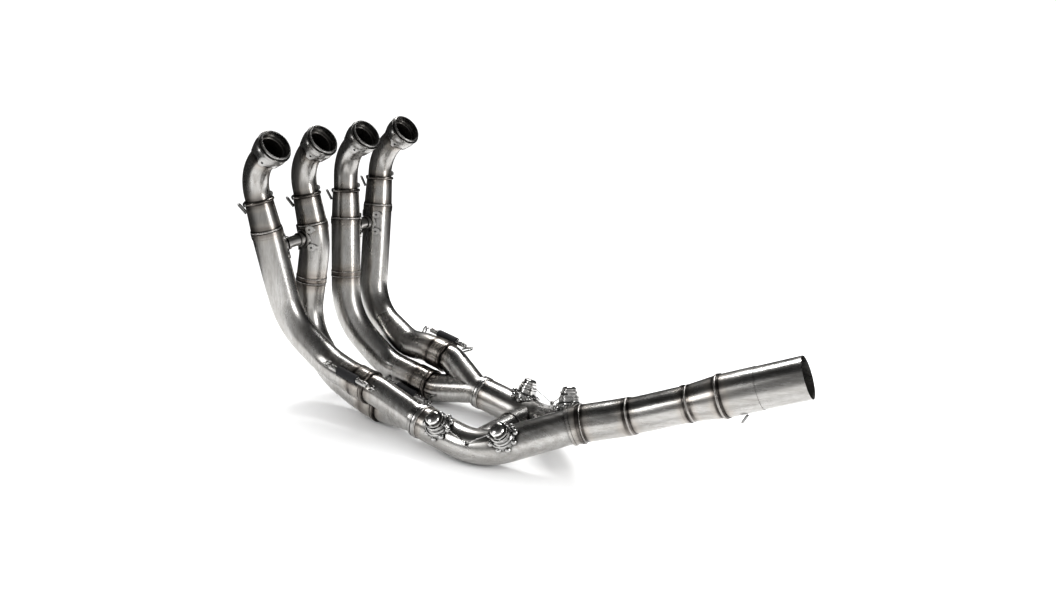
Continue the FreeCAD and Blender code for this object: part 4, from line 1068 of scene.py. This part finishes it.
class HEADER_OT_outlet(bpy.types.Operator):
    """Merge, link, cone and outlet pipe"""

    bl_idname = "header.outlet"
    bl_label = "Outlet"

    def execute(self, context):
        joints = known_seams(zip(OUTLET[1:], OUTLET[:-1]))
        for place, node in enumerate(OUTLET):
            seams = joints[max(place - 1, 0):place + 1]
            # The wide burnt line at the outlet's seams is painted shadow and painted dark reflection on its
            # bands, besides the dark joint.
            raw_tube(node, node.replace("_", " ") + " steel", *seams, along=OUTLET_WAY, line=0.0055)
        return {"FINISHED"}


class HEADER_OT_sensors(bpy.types.Operator):
    """Sensor bungs, their plugs and washers"""

    bl_idname = "header.sensors"
    bl_label = "Sensor bungs"

    def execute(self, context):
        sizes = steel_sizes()
        bright = plain_steel("Plug steel", sizes.bright_colour, 0.2, 0.25)
        base = plain_steel("Bung steel", sizes.tube_colour, 0.26, 0.5)
        for number in PORTS:
            shell("sensor_bung_%d" % number, "bright_steel", base)
            shell("bung_plug_%d" % number, "bright_steel", bright)
        shell("plug_washers", "bright_steel", bright)
        return {"FINISHED"}


def wound_wire(name, path, radius, pitch, wire, step, metal, phase=0.0):
    """A round wire wound about an open path."""
    values = {
        "Coil Radius": radius,
        "Pitch": pitch,
        "Phase": phase,
        "Wire Radius": wire / 2,
        "Step": step,
        "Material": metal,
    }
    return grown(name, line_mesh(name, [(path, False)]), coil_tree(), values)


def long_ends(points):
    """The two ends of a long solid, on its middle line."""
    middle = points.mean(axis=0)
    _, _, rows = np.linalg.svd(points - middle, full_matrices=False)
    along = points @ rows[0] - middle @ rows[0]
    return middle + rows[0] * along.min(), middle + rows[0] * along.max()


def end_loop(points, end, axis, radius):
    """The ring at a spring's end: from its shank once round, in the ring's own plane, and its centre."""
    near = points[np.linalg.norm(points - end, axis=1) < radius * LOOP_REACH]
    centre = end + axis * radius
    _, _, rows = np.linalg.svd(near - near.mean(axis=0), full_matrices=False)
    flat = np.cross(rows[2], axis)
    flat /= np.linalg.norm(flat)
    ring = []
    for angle in np.linspace(LOOP_GAP, math.tau - LOOP_GAP, LOOP_STEPS + 1):
        ring.append(centre + (axis * math.cos(angle) + flat * math.sin(angle)) * radius)
    return ring, centre


def spring_pieces(name, points, metal):
    """One wound spring with a loop at each end, in place of its plain rod."""
    sizes = spring_sizes()
    first, last = long_ends(points)
    axis = (last - first) / np.linalg.norm(last - first)
    spread = np.linalg.norm(np.cross(points - first, axis), axis=1).max()
    radius = spread - sizes.wire / 2
    pieces = []
    ends = []
    for tag, end, way in (("_front", first, axis), ("_rear", last, -axis)):
        ring, centre = end_loop(points, end + way * sizes.wire / 2, way, radius)
        coil = centre + way * sizes.loop
        path = ring + [centre + way * (radius + LOOP_SHANK), coil]
        ends.append(coil)
        pieces.append(wound_wire(name + tag, path, 0.0, 1.0, sizes.wire, LOOP_STEP, metal))
    step = sizes.coil_pitch / TURN_STEPS
    pieces.append(wound_wire(name + "_coil", ends, radius, sizes.coil_pitch, sizes.wire, step, metal))
    return pieces


class HEADER_OT_springs(bpy.types.Operator):
    """Slip joint springs with their loops, rubber sleeves and wire hooks"""

    bl_idname = "header.springs"
    bl_label = "Springs"

    def execute(self, context):
        sizes = steel_sizes()
        metal = plain_steel("Spring steel", sizes.bright_colour, 0.22, 0.35)
        wire = plain_steel("Hook steel", opaque(sizes.tube_colour, HOOK_SHADE)[:3], 0.3, 0.6)
        pieces = []
        for number, points in enumerate(islands("slip_springs")):
            pieces.extend(spring_pieces("spring_%d" % (number + 1), points, metal))
        ride(joined("slip_spring_coils", pieces), "bright_steel", "slip_springs")
        shell("rubber_sleeves", "black_rubber", rubber())
        for node in ("spring_hooks", "joint_hooks", "joint_tabs", "outlet_hook"):
            shell(node, "bright_steel", wire)
        return {"FINISHED"}


def middle_near(points, tip):
    """The middle of the corner points at a wire's tip."""
    return points[np.linalg.norm(points - tip, axis=1) < WIRE_END].mean(axis=0)


class HEADER_OT_wires(bpy.types.Operator):
    """Twisted safety wires from plug to plug, each through its clip"""

    bl_idname = "header.wires"
    bl_label = "Safety wires"

    def execute(self, context):
        sizes = spring_sizes()
        metal = plain_steel("Safety wire steel", steel_sizes().bright_colour, 0.2, 0.2)
        clips = [points.mean(axis=0) for points in islands("wire_clips")]
        for side in SIDES:
            node = "safety_wire_" + side
            points = corners(node)
            clip = min(clips, key=lambda c: np.linalg.norm(points - c, axis=1).min())
            first = points[np.linalg.norm(points - clip, axis=1).argmax()]
            last = points[np.linalg.norm(points - first, axis=1).argmax()]
            path = [middle_near(points, first), clip, middle_near(points, last)]
            half = sizes.strand / 2
            step = sizes.twist / TWIST_STEPS
            strands = []
            for number, phase in enumerate((0.0, math.pi)):
                name = "%s_%d" % (node, number)
                strands.append(wound_wire(name, path, half, sizes.twist, sizes.strand, step, metal, phase))
            ride(joined(node + "_twisted", strands), "bright_steel", node)
        shell("wire_clips", "bright_steel", metal)
        return {"FINISHED"}


class HEADER_OT_welds(bpy.types.Operator):
    """Rippled weld beads round the seams"""

    bl_idname = "header.welds"
    bl_label = "Weld beads"

    def execute(self, context):
        metal = plain_steel("Weld steel", WELD_COLOUR, 0.3, 0.6)
        top = [("inlet_collar_%d" % n, "inlet_bend_%d" % n) for n in PORTS]
        low = [("primary_tube_%d" % n, "taper_cone_%d" % n) for n in PORTS]
        sleeves = [("slip_sleeve_%d" % n, "primary_tube_%d" % n) for n in PORTS]
        bead("collar_welds", known_seams(top), metal)
        bead("cone_welds", known_seams(low), metal)
        bead("sleeve_welds", known_seams(sleeves), metal)
        bead("band_welds", band_edges(2) + band_edges(3), metal, **THIN_BEAD)
        rings = [("secondary_" + side, "collector_ring_" + side) for side in SIDES]
        bead("ring_welds", known_seams(rings), metal)
        bead("outlet_welds", known_seams(zip(OUTLET[1:], OUTLET[:-1])), metal)
        return {"FINISHED"}


def area_light(name, place, target, wide, high, power):
    """A soft rectangular light aimed at a point."""
    data = bpy.data.lights.new(name, "AREA")
    data.shape = "RECTANGLE"
    data.size = wide
    data.size_y = high
    data.energy = power
    made = new_object(name, data)
    made.location = place
    made.rotation_euler = (Vector(target) - Vector(place)).to_track_quat("-Z", "Y").to_euler()


def floor_material(pale):
    """Plain pale floor."""
    material, tree, shader, _ = new_material("Studio floor")
    feed(tree, shader, {"Base Color": opaque(pale), "Roughness": 0.8, "Specular IOR Level": 0.0})
    return material


def studio_room(tree):
    """A room that the steel mirrors: grey in front, black behind and above. All else sees white."""
    way = add_node(tree, "ShaderNodeTexCoord").outputs["Generated"]
    front = vector_node(tree, "DOT_PRODUCT", way, ROOM_FRONT)
    height = add_node(tree, "ShaderNodeSeparateXYZ", {0: way}).outputs[2]
    facing = smooth_range(tree, front, -0.1, 0.9, 0.025, 0.52)
    rise = smooth_range(tree, height, 0.15, 0.75, 1.0, 0.25)
    room = tree.nodes["Background"]
    feed(tree, room, {"Color": WHITE, "Strength": product(tree, facing, rise)})
    white = add_node(tree, "ShaderNodeBackground", {"Color": WHITE, "Strength": 1.0})
    seen = add_node(tree, "ShaderNodeLightPath").outputs["Is Glossy Ray"]
    either = add_node(tree, "ShaderNodeMixShader", {0: seen, 1: white.outputs[0], 2: room.outputs[0]})
    feed(tree, tree.nodes["World Output"], {"Surface": either.outputs[0]})


class HEADER_OT_stage(bpy.types.Operator):
    """Pale floor, soft lights and the camera"""

    bl_idname = "header.stage"
    bl_label = "Stage"

    def execute(self, context):
        sizes = stage_sizes()
        scene = context.scene
        bm = bmesh.new()
        bmesh.ops.create_circle(bm, cap_ends=True, segments=96, radius=sizes.floor_radius)
        mesh = bpy.data.meshes.new("studio_floor")
        bm.to_mesh(mesh)
        bm.free()
        mesh.materials.append(floor_material(sizes.floor_colour))
        floor = new_object("studio_floor", mesh)
        area_light("Key light", (-0.75, 1.1, 1.7), (-0.05, 0.0, 0.1), 1.1, 0.34, sizes.key_power)
        area_light("Right light", (2.0, 0.35, 0.6), (0.1, 0.0, 0.15), 0.5, 1.1, sizes.right_power)
        area_light("Front light", (-0.9, -1.9, 1.0), (-0.1, 0.0, 0.15), 0.4, 0.9, sizes.front_power)
        world = bpy.data.worlds.new("Studio")
        world.use_nodes = True
        scene.world = world
        studio_room(world.node_tree)
        camera = bpy.data.cameras.new("Camera")
        camera.lens = sizes.lens
        camera.sensor_width = 36.0
        camera.clip_start = 0.01
        scene.camera = new_object("Camera", camera)
        back = CAMERA_RIGHT.cross(CAMERA_UP).normalized()
        turn = Matrix((CAMERA_RIGHT, CAMERA_UP, back)).transposed().to_4x4()
        scene.camera.matrix_world = Matrix.Translation(sizes.camera_place) @ turn
        scene.view_settings.view_transform = "Standard"
        scene.view_settings.look = "Medium High Contrast"
        return {"FINISHED"}


class HEADER_PT_sidebar(bpy.types.Panel):
    """Lists the pieces of the header and their sizes."""

    bl_idname = "HEADER_PT_sidebar"
    bl_label = "Exhaust header"
    bl_space_type = "VIEW_3D"
    bl_region_type = "UI"
    bl_category = "Header"

    def draw(self, context):
        layout = self.layout
        for made in OPERATORS:
            layout.operator(made.bl_idname)
        for label in ("header_steel", "header_welds", "header_springs", "header_stage"):
            group = getattr(context.scene, label)
            box = layout.box()
            for field in group.bl_rna.properties:
                if field.identifier not in ("rna_type", "name"):
                    box.prop(group, field.identifier)


GROUPS = (HeaderSteel, HeaderWelds, HeaderSprings, HeaderStage)
OPERATORS = (
    HEADER_OT_stage,
    HEADER_OT_collars,
    HEADER_OT_pipes,
    HEADER_OT_crossovers,
    HEADER_OT_collector,
    HEADER_OT_outlet,
    HEADER_OT_sensors,
    HEADER_OT_springs,
    HEADER_OT_wires,
    HEADER_OT_welds,
)
CLASSES = GROUPS + OPERATORS + (HEADER_PT_sidebar,)


def register():
    for made in CLASSES:
        bpy.utils.register_class(made)
    bpy.types.Scene.header_steel = PointerProperty(type=HeaderSteel)
    bpy.types.Scene.header_welds = PointerProperty(type=HeaderWelds)
    bpy.types.Scene.header_springs = PointerProperty(type=HeaderSprings)
    bpy.types.Scene.header_stage = PointerProperty(type=HeaderStage)


def unregister():
    del bpy.types.Scene.header_stage
    del bpy.types.Scene.header_springs
    del bpy.types.Scene.header_welds
    del bpy.types.Scene.header_steel
    for made in reversed(CLASSES):
        bpy.utils.unregister_class(made)


def main():
    register()
    bpy.ops.header.stage()
    bpy.ops.header.collars()
    bpy.ops.header.pipes()
    bpy.ops.header.crossovers()
    bpy.ops.header.collector()
    bpy.ops.header.outlet()
    bpy.ops.header.sensors()
    bpy.ops.header.springs()
    bpy.ops.header.wires()
    bpy.ops.header.welds()


if __name__ == "__main__":
    main()
